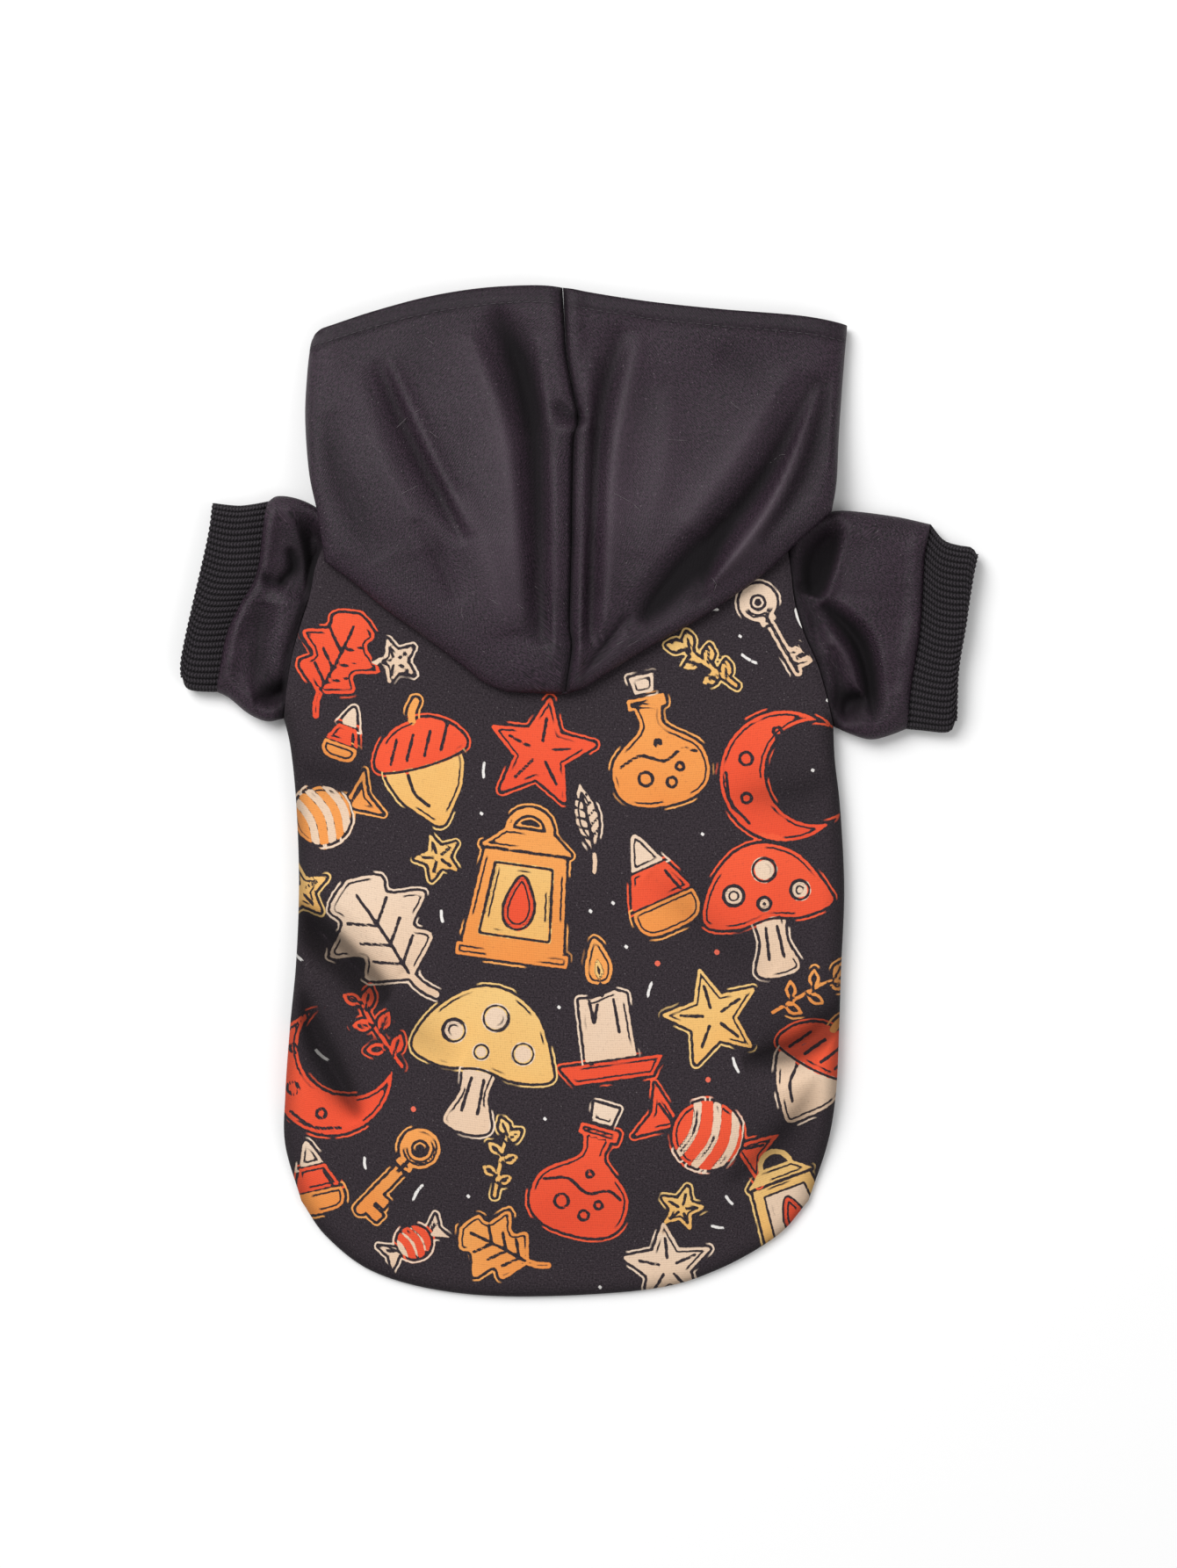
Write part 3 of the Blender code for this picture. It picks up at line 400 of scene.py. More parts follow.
def to_run(points, start, end):
    """Distance of each point from a straight run, and the share of the run where that is."""
    run = end - start
    along = np.clip((points - start) @ run / max(run @ run, TINY), 0.0, 1.0)
    return np.linalg.norm(points - start - along[:, None] * run, axis=1), along


def nearest_on(points, line):
    """Distance from each point to a line, and the share of its length where that is."""
    flat = points.reshape(-1, 2)
    nearest = np.full(len(flat), np.inf)
    share = np.zeros(len(flat))
    for index, (start, end) in enumerate(zip(line, line[1:])):
        gap, along = to_run(flat, start, end)
        closer = gap < nearest
        nearest = np.where(closer, gap, nearest)
        share = np.where(closer, (index + along) / (len(line) - 1), share)
    return nearest.reshape(points.shape[:-1]), share.reshape(points.shape[:-1])


def distance_to(points, *lines):
    """Distance from each point to the nearest of the lines."""
    return np.minimum.reduce([nearest_on(points, line)[0] for line in lines])


def to_left(runs):
    """Unit directions to the left of the given ones."""
    turned = np.stack([-runs[:, 1], runs[:, 0]], axis=1)
    return turned / np.linalg.norm(turned, axis=1)[:, None]


def roll(distance, width):
    """Share of its full height that a folded edge has at a distance from the fold."""
    inward = 1.0 - np.minimum(distance / width, 1.0)
    return np.sqrt(np.maximum(1.0 - inward * inward, 0.0))


def fold_rise(points, folds, to_plan, unit):
    """Height that the folds add, each fading in and out at its ends."""
    rise = np.zeros(points.shape[:-1])
    for *path, width, height in folds:
        gap, share = nearest_on(points, smooth_line(to_plan(path), FOLD_STEPS))
        fade = np.sqrt(np.clip(4.0 * share * (1.0 - share), 0.0, 1.0))
        rise += height * fade * crease(gap / (width * unit * (0.5 + 0.5 * fade)))
    return rise


def in_shade(rise, depth):
    """How far a place lies down in a fold, from 0 to 1, where less light reaches the cloth: the share
    of painted shade there; with the rise turned over, the share of painted highlight on a crest.
    """
    return smooth(-rise / depth)


def crumple(points, waves, shift=0):
    """Slight unevenness of laid cloth: waves in many directions, the same at each run."""
    seed, length, height = waves
    random = np.random.default_rng(seed + shift)
    rise = np.zeros(points.shape[:-1])
    for _ in range(WAVES):
        angle, phase = random.uniform(0.0, 2 * math.pi, 2)
        wave = length * random.uniform(0.5, 1.6)
        run = points[..., 0] * math.cos(angle) + points[..., 1] * math.sin(angle)
        rise += np.sin(2 * math.pi * run / wave + phase)
    return height * rise / WAVES ** 0.5


def fill(left, right, top, bottom, along, across):
    """Plan of a sheet between its four edges, at across shares for each row."""
    rows = []
    for index, share in enumerate(along):
        u = np.asarray(across[index])[:, None]
        sides = (1 - u) * left[index] + u * right[index]
        ends = (1 - share) * at_shares(top, u[:, 0]) + share * at_shares(bottom, u[:, 0])
        corners = (1 - share) * ((1 - u) * top[0] + u * top[-1])
        corners = corners + share * ((1 - u) * bottom[0] + u * bottom[-1])
        rows.append(sides + ends - corners)
    return np.array(rows)


def edge_shares():
    """Stations round a folded edge at even steps of angle, as shares of its width."""
    return [1.0 - math.cos(0.5 * math.pi * step / EDGE_CELLS) for step in range(EDGE_CELLS + 1)]


class Body:
    """Plan and heights that the body's two panels share."""

    def __init__(self, steps):
        self.columns = steps.across
        self.left, self.right = (
            rail(
                on_body,
                ((NECK[side], SHOULDER[side]), steps.shoulder),
                ((SHOULDER[side], *ARMHOLE[side], UNDERARM[side]), steps.armhole),
                ((UNDERARM[side], *SIDE[side], TAIL[side]), steps.side),
            )
            for side in (LEFT, RIGHT)
        )
        self.neck = on_body([NECK[LEFT], NECK[RIGHT]])
        self.hem = smooth_line(on_body([TAIL[LEFT], *HEM, TAIL[RIGHT]]))
        left_travel, right_travel = travel(self.left), travel(self.right)
        self.along = 0.5 * (left_travel / left_travel[-1] + right_travel / right_travel[-1])
        self.rows = len(self.left)
        self.underarm_row = steps.shoulder + steps.armhole
        self.belly_row = self.underarm_row + round(BELLY_END * steps.side)
        tail = smooth((self.along - TAIL_START) / TAIL_SPAN)
        belly_end = self.along[self.belly_row]
        self.turned = smooth((self.along - belly_end) / (HEM_TURN_SPAN * (1.0 - belly_end)))
        self.edge_height = BODY_HEIGHT + (HEM_HEIGHT - BODY_HEIGHT) * tail
        self.roll_width = EDGE_ROLL + (HEM_ROLL * HEM_HEIGHT - EDGE_ROLL) * tail
        self.seam_turn = smooth((self.along - self.along[self.underarm_row]) / UNDERARM_BLEND)
        below = slice(self.underarm_row, None)
        self.closed = [
            self.left[: steps.shoulder + 1],
            self.right[: steps.shoulder + 1],
            np.vstack([self.left[below], self.hem[1:-1], self.right[below][::-1]]),
        ]
        opening = slice(steps.shoulder, self.underarm_row + 1)
        self.armholes = {LEFT: self.left[opening], RIGHT: self.right[opening]}

    def across(self):
        """Column shares of each row: close together in the folded edges."""
        rows = []
        for row in range(self.rows):
            width = float(np.linalg.norm(self.right[row] - self.left[row]))
            if row == self.rows - 1:
                width = float(travel(self.hem)[-1])
            edge = [self.roll_width[row] / width * share for share in edge_shares()]
            middle = self.columns - 2 * EDGE_CELLS
            flat = list(np.linspace(edge[-1], 1.0 - edge[-1], middle + 1)[1:-1])
            rows.append(edge + flat + [1.0 - share for share in reversed(edge)])
        return rows


def cloth_places(points):
    """Where each corner of a grid lies on the flat cloth, in metres, for its weave."""
    across = np.linalg.norm(np.diff(points, axis=1), axis=2)
    across = np.concatenate([np.zeros((len(points), 1)), np.cumsum(across, axis=1)], axis=1)
    across = across - across[:, across.shape[1] // 2][:, None]
    down = np.linalg.norm(np.diff(points, axis=0), axis=2)
    down = np.concatenate([np.zeros((1, points.shape[1])), np.cumsum(down, axis=0)], axis=0)
    return np.dstack([across, -down])


def grid_sheet(points, layer=None):
    """A bmesh grid with its corners at points[row][column], its UVs in metres of cloth.

    A layer is a name under which each corner can keep three numbers."""
    rows, columns = points.shape[0] - 1, points.shape[1] - 1
    places = cloth_places(points)
    sheet = bmesh.new()
    if layer:
        sheet.verts.layers.float_vector.new(layer)
    bmesh.ops.create_grid(sheet, x_segments=columns, y_segments=rows, size=0.5)
    weave = sheet.loops.layers.uv.new("cloth")
    corners = {}
    index_of = {}
    for vert in sheet.verts:
        key = (round((vert.co.y + 0.5) * rows), round((vert.co.x + 0.5) * columns))
        corners[key] = vert
        index_of[vert] = key
    for key, vert in corners.items():
        vert.co = points[key]
    for face in sheet.faces:
        for loop in face.loops:
            loop[weave].uv = places[index_of[loop.vert]]
    return sheet, corners


def layered_sheet(upper, lower, finish):
    """A grid over an upper layer and back under it, with the upper one's finish kept on it.

    The finish is hem, painted shade and painted highlight on crests, each from 0 to 1."""
    points = np.concatenate([upper, lower[:, ::-1][:, 1:]], axis=1)
    sheet, corners = grid_sheet(points, "finish")
    layer = sheet.verts.layers.float_vector["finish"]
    for (row, column), vert in corners.items():
        if column < finish.shape[1]:
            vert[layer] = finish[row, column]
    return sheet, corners


def face_out(sheet):
    """Turns every face so that the sheet's outer side is its front."""
    sheet.normal_update()
    middle = np.mean([vert.co[:] for vert in sheet.verts], axis=0)
    outward = 0.0
    for face in sheet.faces:
        outward += (np.array(face.calc_center_median()) - middle) @ face.normal * face.calc_area()
    if outward < 0:
        bmesh.ops.reverse_faces(sheet, faces=sheet.faces[:])


def origin_shift():
    """From the plan's own origin, on the centre line at the neck, to the frame's."""
    low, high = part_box("back_panel")
    return Vector((low.x - float(Body(ORIGIN_STEPS).left[:, 0].min()), high.y, 0.0))


SHIFT = origin_shift()


def new_piece(name, sheet, material, node=None):
    """An object at the origin with the sheet as its mesh, riding on the body."""
    for vert in sheet.verts:
        vert.co += SHIFT
    mesh = bpy.data.meshes.new(name)
    sheet.to_mesh(mesh)
    sheet.free()
    mesh.materials.append(material)
    mesh.shade_smooth()
    piece = bpy.data.objects.new(name, mesh)
    bpy.context.scene.collection.objects.link(piece)
    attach(piece, "root")
    if node:
        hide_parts(node)
    return piece


def lay_cloth(name, node, sheet, material, wall=None):
    """A cloth in place of its node, with its wall."""
    area = sum(face.calc_area() for face in sheet.faces)
    piece = new_piece(name, sheet, material, node)
    if wall:
        skin = piece.modifiers.new("Wall", "SOLIDIFY")
        skin.thickness = wall
        skin.offset = -1.0
        skin.use_even_offset = False
        skin.use_rim = True
    return piece


def smooth_run(line, reach):
    """Direction of a line at each of its points, taken over a reach to either side."""
    travelled = travel(line)
    ahead = at_shares(line, np.minimum(travelled + reach, travelled[-1]) / travelled[-1])
    behind = at_shares(line, np.maximum(travelled - reach, 0.0) / travelled[-1])
    return ahead - behind


def grow_edge(sheet, loop):
    """Extrudes a run of corners and returns the new ones in the same order."""
    edges = [sheet.edges.get(pair) for pair in zip(loop, loop[1:])]
    grown = bmesh.ops.extrude_edge_only(sheet, edges=edges)["geom"]
    fresh = {item for item in grown if isinstance(item, bmesh.types.BMVert)}
    partners = []
    for vert in loop:
        ends = [edge.other_vert(vert) for edge in vert.link_edges]
        partners.append(next(end for end in ends if end in fresh))
    return partners


def turn_under(sheet, loop, rows, body, flat):
    """Carries the back round its folded edge, to the side seams and the turned hem."""
    edge = np.array([vert.co[:2] for vert in loop])
    inward = to_left(smooth_run(edge, 1.5 * HEM_HEIGHT))
    weave = sheet.loops.layers.uv.active
    last = [vert.co.copy() for vert in loop]
    travelled = np.zeros(len(loop))
    for step in range(1, TURN_CELLS + 2):
        share = min(step / TURN_CELLS, 1.0)
        loop = grow_edge(sheet, loop)
        for index, (vert, row) in enumerate(zip(loop, rows)):
            half = 0.5 * body.edge_height[row]
            hem = body.turned[row]
            angle = (SEAM_ANGLE + (math.pi / 2 - SEAM_ANGLE) * hem) * body.seam_turn[row] * share
            reach = body.roll_width[row] * (1.0 - math.cos(angle))
            reach += HEM_TURN * hem * (step > TURN_CELLS)
            place = edge[index] + inward[index] * reach
            vert.co = (place[0], place[1], half - half * math.sin(angle))
            travelled[index] += (vert.co - last[index]).length
            last[index] = vert.co.copy()
            outer = edge[index] - inward[index] * travelled[index]
            vert[flat] = (outer[0], outer[1], 0.0)
            for around in vert.link_loops:
                around[weave].uv = outer
    bmesh.ops.dissolve_degenerate(sheet, dist=1e-6, edges=sheet.edges[:])
    bmesh.ops.recalc_face_normals(sheet, faces=sheet.faces[:])


def back_points(body):
    plan = fill(body.left, body.right, body.neck, body.hem, body.along, body.across())
    distance = distance_to(plan, *body.closed)
    half = 0.5 * body.edge_height[:, None]
    height = half + half * roll(distance, body.roll_width[:, None])
    inside = 1.0 - bell(distance / (PUFF_REACH * EDGE_ROLL))
    below_hood = smooth((body.along[:, None] - PUFF_START) / PUFF_SPAN)
    hem_fade = smooth((1.0 - body.along[:, None]) / PUFF_END)
    swell = BACK_CROWN + crumple(plan, BACK_WAVES)
    for place, reach, depth in BACK_DENTS:
        away = np.linalg.norm(plan - on_body(place), axis=-1) / (reach * BODY_WIDTH)
        swell = swell - depth * BODY_HEIGHT * bell(away)
    folds = fold_rise(plan, BACK_FOLDS, on_body, BODY_WIDTH) * BODY_HEIGHT
    folds = folds * (1.0 - bell(distance / (BACK_FOLD_REACH * EDGE_ROLL)))
    height = height + (swell * inside + folds) * below_hood * hem_fade
    height += ridge(distance_to(plan, *body.armholes.values()), *ARMHOLE_GROOVE)
    return np.dstack([plan, height])


def back_sheet(steps):
    """The back's outer face, from the neck round the turned hem."""
    body = Body(steps)
    points = back_points(body)
    sheet, corners = grid_sheet(points, "flat")
    flat = sheet.verts.layers.float_vector["flat"]
    for vert in sheet.verts:
        vert[flat] = (vert.co.x, vert.co.y, 0.0)
    last_row, last_column = body.rows - 1, points.shape[1] - 1
    border = [(row, 0) for row in range(body.underarm_row, last_row + 1)]
    border += [(last_row, column) for column in range(1, last_column)]
    border += [(row, last_column) for row in range(last_row, body.underarm_row - 1, -1)]
    loop = [corners[place] for place in border]
    turn_under(sheet, loop, [row for row, _ in border], body, flat)
    face_out(sheet)
    return sheet


def back_cloth(settings, printed, plain):
    """The printed outer face, and the plain inner face that meets it all round its border."""
    piece = lay_cloth("back_cloth", "back_panel", back_sheet(BACK_STEPS), printed)
    print_cloth(piece.data, settings)
    inside = back_sheet(INSIDE_STEPS)
    for vert, normal in [(vert, vert.normal.copy()) for vert in inside.verts]:
        if not vert.is_boundary:
            vert.co -= BODY_WALL * normal
    bmesh.ops.reverse_faces(inside, faces=inside.faces[:])
    new_piece("back_cloth_inside", inside, plain)


def belly_cloth(material):
    body = Body(BELLY_STEPS)
    rows = slice(0, body.belly_row + 1)
    angle = SEAM_ANGLE * body.seam_turn[rows] + BELLY_TUCK
    reach = (body.roll_width[rows] * (1.0 - np.cos(angle)))[:, None]
    left, right = (
        side_rail[rows] - side * to_left(np.gradient(side_rail, axis=0)[rows]) * reach
        for side, side_rail in ((LEFT, body.left), (RIGHT, body.right))
    )
    neck = np.array([left[0], right[0]])
    plan = fill(left, right, neck, body.hem, body.along[rows], body.across()[rows])
    half = 0.5 * body.edge_height[rows][:, None]
    height = half - half * roll(distance_to(plan, *body.closed), body.roll_width[rows][:, None])
    sheet, _ = grid_sheet(np.dstack([plan, height]))
    face_out(sheet)
    lay_cloth("belly_cloth", "belly_panel", sheet, material, BODY_WALL)


def hood_floor(points, over_neck):
    """Underside of the hood: on the surface by the throat, over the body past the neck."""
    lift = BODY_HEIGHT + LAYER_GAP
    climb = smooth(1.0 - (points[..., 1] - FLOOR_START) / FLOOR_SPAN)
    beside = np.ones_like(climb)
    for side, neck in NECK.items():
        out = side * points[..., 0]
        past = smooth((out - abs(neck[0]) * BODY_WIDTH - NECK_CLEARANCE) / NECK_CLIMB)
        beside = np.where(out > 0, past, beside)
    return np.where(over_neck, lift, lift * climb * beside)


def hood_roof(points):
    full = BODY_HEIGHT + LAYER_GAP + HOOD_LOFT
    climb = smooth(1.0 - (points[..., 1] - ROOF_START) / ROOF_SPAN)
    return MOUTH_HEIGHT + (full - MOUTH_HEIGHT) * climb


class Hood:
    """Plan and heights of one half of the hood."""

    def __init__(self, side, steps, sizes):
        self.side = side
        neck, shoulder = HOOD_NECK[side], HOOD_SHOULDER[side]
        self.border = rail(
            on_hood,
            ((CORNER[side], *HOOD_SIDE[side], neck), steps.armhole),
            ((neck, shoulder), steps.shoulder),
            ((shoulder, *POINT[side], TIP[side]), steps.side),
        )
        nape_down = CENTRE_SEAM_NECK[1] + 0.5 * (shoulder[1] + neck[1]) + NAPE_SHIFT
        nape = (CENTRE_SEAM_NECK[0], nape_down)
        below = (
            ((CENTRE_SEAM_NECK, nape), steps.shoulder),
            ((nape, *CENTRE_SEAM_POINT), steps.side),
        )
        shift = np.array([side * 0.5 * SEAM_GAP, 0.0])
        top = ((*CENTRE_SEAM_TOP, CENTRE_SEAM_NECK), steps.armhole)
        upper_seam = rail(on_hood, top, *below) + shift
        lower_seam = rail(on_hood, ((CHIN, CENTRE_SEAM_NECK), steps.armhole), *below) + shift
        self.seam = upper_seam
        self.lip = smooth_line(
            np.vstack([upper_seam[:1], on_hood([*MOUTH[side], CORNER[side]])])
        )
        widths = np.linalg.norm(self.border - upper_seam, axis=1)
        across = []
        for share in HOOD_ROLL / np.maximum(widths, 3 * HOOD_ROLL):
            flat = list(np.linspace(0.0, 1.0 - share, steps.across - EDGE_CELLS + 1)[:-1])
            across.append(flat + [1.0 - share * part for part in reversed(edge_shares())])
        travelled = travel(self.border)
        along = travelled / travelled[-1]
        tip_line = np.array([upper_seam[-1], self.border[-1]])
        upper = fill(upper_seam, self.border, self.lip, tip_line, along, across)
        chin_line = np.array([lower_seam[0], self.border[0]])
        lower = fill(lower_seam, self.border, chin_line, tip_line, along, across)
        self.neck_row = steps.armhole
        self.over_neck = (np.arange(len(self.border)) > self.neck_row)[:, None]
        self.closed = np.vstack([self.border, upper_seam[-1:]])
        self.upper, self.finish = self.top(upper, sizes)
        middle, rolled = self.section(lower)
        self.lower = np.dstack([lower, middle - rolled])

    def section(self, plan):
        """Height of the middle between the two layers, and each layer's distance from it."""
        floor, roof = hood_floor(plan, self.over_neck), hood_roof(plan)
        rolled = roll(distance_to(plan, self.closed), HOOD_ROLL)
        return 0.5 * (floor + roof), 0.5 * (roof - floor) * rolled

    def top(self, plan, sizes):
        """Corners of the upper layer, and its hem, painted shade and painted highlight."""
        middle, rolled = self.section(plan)
        height = middle + rolled
        inside = 1.0 - bell(distance_to(plan, self.closed) / (HOOD_FOLD_REACH * HOOD_ROLL))
        folds = fold_rise(plan, HOOD_FOLDS, on_hood, HOOD_WIDTH) * HOOD_LOFT * FOLD_DEPTH
        to_lip = distance_to(plan, self.lip)
        to_seam = distance_to(plan, self.seam)
        calm = smooth(to_lip / (LIP_CALM * sizes.band))
        hem = smooth((sizes.band - to_lip) / HEM_TONE_WIDTH + 0.5)
        # Painted shade: near black deep in the folds and along the centre seam
        deep = in_shade(folds / HOOD_LOFT, HOOD_SHADE) * calm * inside
        deep = np.maximum(deep, SEAM_SHADE_DEPTH * bell(to_seam / SEAM_SHADE))
        # Painted highlight: lighter twill on the crests of the folds
        crest = in_shade(-folds / HOOD_LOFT, HOOD_SHADE) * calm * inside
        height += (HOOD_CROWN + (folds + crumple(plan, HOOD_WAVES)) * calm) * inside
        height += ridge(to_seam, *CENTRE_GROOVE)
        height += ridge(to_seam, *CENTRE_WELT[self.side])
        height = np.maximum(height, hood_floor(plan, self.over_neck) + FOLD_FLOOR)
        height += HEM_STEP * smooth((sizes.band - to_lip) / HEM_STEP_WIDTH + 0.5)
        height += ridge(to_lip, *STITCH_GROOVE, sizes.band)
        height -= LIP_DROP * smooth(1.0 - to_lip / (LIP_SPAN * sizes.band))
        return np.dstack([plan, height]), np.dstack([hem, deep, crest])


def open_neck(sheet, corners, hood, first, last):
    """Slits the lower layer along the neck line, where the body's neck comes in."""
    slit_end = abs(NECK[hood.side][0]) * BODY_WIDTH + NECK_CLEARANCE + NECK_CLIMB
    lift = BODY_HEIGHT + LAYER_GAP
    slit = []
    for column in range(first, last):
        ends = (corners[hood.neck_row, column], corners[hood.neck_row, column + 1])
        if abs(ends[1].co.x) < slit_end:
            slit.append(sheet.edges.get(ends))
    parted = bmesh.ops.split_edges(sheet, edges=slit)["edges"]
    for vert in {vert for edge in parted for vert in edge.verts}:
        middles = [face.calc_center_median().y for face in vert.link_faces]
        if all(middle < 0 for middle in middles):
            vert.co.z = lift
        elif all(middle > 0 for middle in middles):
            ahead = max(edge.other_vert(vert).co.y for edge in vert.link_edges)
            vert.co.y = min(NECK_SEAM_GAP, 0.5 * ahead)


def hood_cloth(node, side, sizes, material):
    hood = Hood(side, HOOD_STEPS, sizes)
    sheet, corners = layered_sheet(hood.upper, hood.lower, hood.finish)
    columns = hood.upper.shape[1]
    open_neck(sheet, corners, hood, columns, columns + hood.lower.shape[1] - 2)
    bmesh.ops.remove_doubles(sheet, verts=sheet.verts[:], dist=WELD)
    face_out(sheet)
    lay_cloth(node + "_cloth", node, sheet, material, HOOD_WALL)
    return hood


class Sleeve:
    """Rails that one sleeve and its cuff share."""

    def __init__(self, side, body):
        self.side = side
        self.armhole = body.armholes[side]
        self.middle = 0.5 * (self.armhole[0] + self.armhole[-1])
        self.seam = smooth_line(self.plan(CUFF_SEAM[side]))
        self.edge = smooth_line(self.plan(CUFF_EDGE[side]))
        outward = side * to_left(np.gradient(self.armhole, axis=0))
        self.root = self.armhole + outward * SEAM_GAP

    def plan(self, places):
        return self.middle + np.multiply(places, (self.side, -1.0)) * CUFF_WIDTH

    def tube(self, start, end, top, foot, heights, columns):
        """A flattened tube between two lines: its plan, the distance from its folded edges,
        and the heights of its upper and lower layer."""
        along = np.linspace(0.0, 1.0, len(heights))
        tops, feet = (
            at_shares(smooth_line(np.vstack([start[at], self.plan(places), end[at]])), along)
            for at, places in ((0, top), (-1, foot))
        )
        widths = np.linalg.norm(feet - tops, axis=1)
        across = np.array([ring_shares(*size, columns) for size in zip(widths, heights)])
        plan = fill(tops, feet, start, end, along, across)
        distance = np.minimum(across, 1.0 - across) * widths[:, None]
        half = 0.5 * heights[:, None]
        rolled = half * roll(distance, EDGE_ROLL)
        return plan, distance, half + rolled, half - rolled


def ring_shares(width, height, count):
    """Shares across a flattened tube, evenly spaced round its section."""
    fine = 0.5 * width * (1.0 - np.cos(np.linspace(0.0, math.pi, SECTION_STEPS)))
    edge = np.minimum(fine, width - fine)
    section = np.stack([fine, 0.5 * height * roll(edge, EDGE_ROLL)], axis=1)
    return at_shares(section, np.linspace(0.0, 1.0, count + 1))[:, 0] / width


def sleeve_cloth(node, parts, material):
    side = parts.side
    along = np.linspace(0.0, 1.0, SLEEVE_SECTIONS + 1)
    taper = smooth((along - SLEEVE_TAPER) / (1.0 - SLEEVE_TAPER))
    heights = BODY_HEIGHT + (CUFF_HEIGHT - BODY_HEIGHT) * taper
    plan, distance, upper, lower = parts.tube(
        parts.root, parts.seam, SLEEVE_TOP[side], SLEEVE_FOOT[side], heights, SLEEVE_COLUMNS
    )
    inside = 1.0 - bell(distance / EDGE_ROLL)
    folds = fold_rise(plan, SLEEVE_FOLDS[side], parts.plan, CUFF_WIDTH) * BODY_HEIGHT
    folds = folds + crumple(plan, SLEEVE_WAVES, side)
    to_root = distance_to(plan, parts.armhole)
    to_seam = distance_to(plan, parts.seam)
    free = smooth(to_root / ROOT_FREE) * smooth(to_seam / CUFF_FREE)
    gathers = crumple(plan, GATHER_WAVES, side) * bell(to_seam / GATHER_REACH)
    # Painted shade: near black deep in the folds and along the armhole seam
    deep = in_shade(folds / BODY_HEIGHT, SLEEVE_SHADE) * inside
    deep = np.maximum(deep, SEAM_SHADE_DEPTH * bell(to_root / ROOT_SHADE))
    # Painted highlight: lighter twill on the crests of the folds
    crest = in_shade(-folds / BODY_HEIGHT, SLEEVE_SHADE) * inside
    upper += np.maximum((folds + gathers) * inside * free, FOLD_FLOOR - BODY_HEIGHT)
    upper += ridge(to_root, *ROOT_GROOVE)
    upper += inside * (ridge(to_seam, *CUFF_WELT) + ridge(to_seam, *CUFF_GROOVE))
    finish = np.dstack([0.0 * deep, deep, crest])
    sheet, _ = layered_sheet(np.dstack([plan, upper]), np.dstack([plan, lower]), finish)
    bmesh.ops.remove_doubles(sheet, verts=sheet.verts[:], dist=WELD)
    face_out(sheet)
    lay_cloth(node + "_cloth", node, sheet, material, SLEEVE_WALL)


def doubled(plan, height, side, rib):
    """One layer of a cuff, round its free edge and back inside."""
    outer = np.dstack([plan, height])
    off = height - 0.5 * CUFF_HEIGHT
    thin = np.maximum(np.abs(off) - CUFF_WALL, 0.1 * np.abs(off))
    inner = np.dstack([plan, 0.5 * CUFF_HEIGHT + np.sign(off) * thin])
    turn = []
    for angle in map(math.radians, CUFF_TURN_ANGLES):
        share = 0.5 - 0.5 * math.cos(angle)
        row = (1 - share) * outer[-1] + share * inner[-1]
        row[:, 0] += side * 0.5 * CUFF_WALL * math.sin(angle) * (0.75 + 0.5 * rib)
        turn.append(row)
    return np.concatenate([outer, np.array(turn), inner[::-1]])


def cuff_cloth(node, parts, sizes, material):
    """A doubled cuff: out from its seam, round the free edge and back inside."""
    side = parts.side
    columns = round(CUFF_WIDTH / sizes.rib_pitch) * RIB_CELLS
    rib = np.abs(np.sin(math.pi / RIB_CELLS * np.arange(columns + 1)))
    start = parts.seam + np.array([side * CUFF_SEAM_GAP, 0.0])
    heights = np.full(CUFF_ROWS + 1, CUFF_HEIGHT)
    plan, distance, upper, lower = parts.tube(
        start, parts.edge, CUFF_TOP[side], CUFF_FOOT[side], heights, columns
    )
    fade = smooth(distance / (RIB_FADE * EDGE_ROLL))
    wave = sizes.rib_depth * (rib - 1.0) * fade + crumple(plan, CUFF_WAVES) * fade
    upper += wave + fade * ridge(distance_to(plan, start), *KNIT_GROOVE)
    lower += np.maximum(-wave, 0.0)
    layers = [doubled(plan, height, side, rib) for height in (upper, lower)]
    # Painted shade between the ribs, more where a groove lies deeper
    grooves = np.tile((1.0 - rib) ** 1.5, (len(layers[0]), 1))
    sheet, _ = layered_sheet(*layers, np.dstack([0.0 * grooves, grooves, 0.0 * grooves]))
    bmesh.ops.remove_doubles(sheet, verts=sheet.verts[:], dist=WELD)
    sheet.normal_update()
    crown = max(sheet.faces, key=lambda face: face.calc_center_median().z)
    if crown.normal.z < 0:
        bmesh.ops.reverse_faces(sheet, faces=sheet.faces[:])
    lay_cloth(node + "_cloth", node, sheet, material)


def polygon_reach(places, corners):
    """Signed distance to a closed outline, below zero inside it."""
    nearest = np.full(len(places), np.inf)
    inside = np.zeros(len(places), bool)
    for start, end in zip(corners, np.roll(corners, -1, axis=0)):
        nearest = np.minimum(nearest, to_run(places, start, end)[0])
        crosses = (start[1] > places[:, 1]) != (end[1] > places[:, 1])
        rise = end[1] - start[1] if end[1] != start[1] else TINY
        at = start[0] + (places[:, 1] - start[1]) / rise * (end[0] - start[0])
        inside ^= crosses & (places[:, 0] < at)
    return np.where(inside, -nearest, nearest)


COLOURS = ("orange", "amber", "yellow", "cream", "white", "spark")
FAR = 0.05
SHADE_REACH = 0.004
BRUSH_REACH, BRUSH_MARGIN = 0.85, 0.006
OUTLINE_STEPS, LINE_STEPS = 8, 16
INK = 0.0013


class Print:
    """Signed distance, in metres, from each place of the back to each colour of its print."""

    def __init__(self, places):
        self.places = places
        self.reach = {colour: np.full(len(places), FAR) for colour in COLOURS}
        self.shade = np.full(len(places), 0.5)
        self.outline = np.full(len(places), FAR)


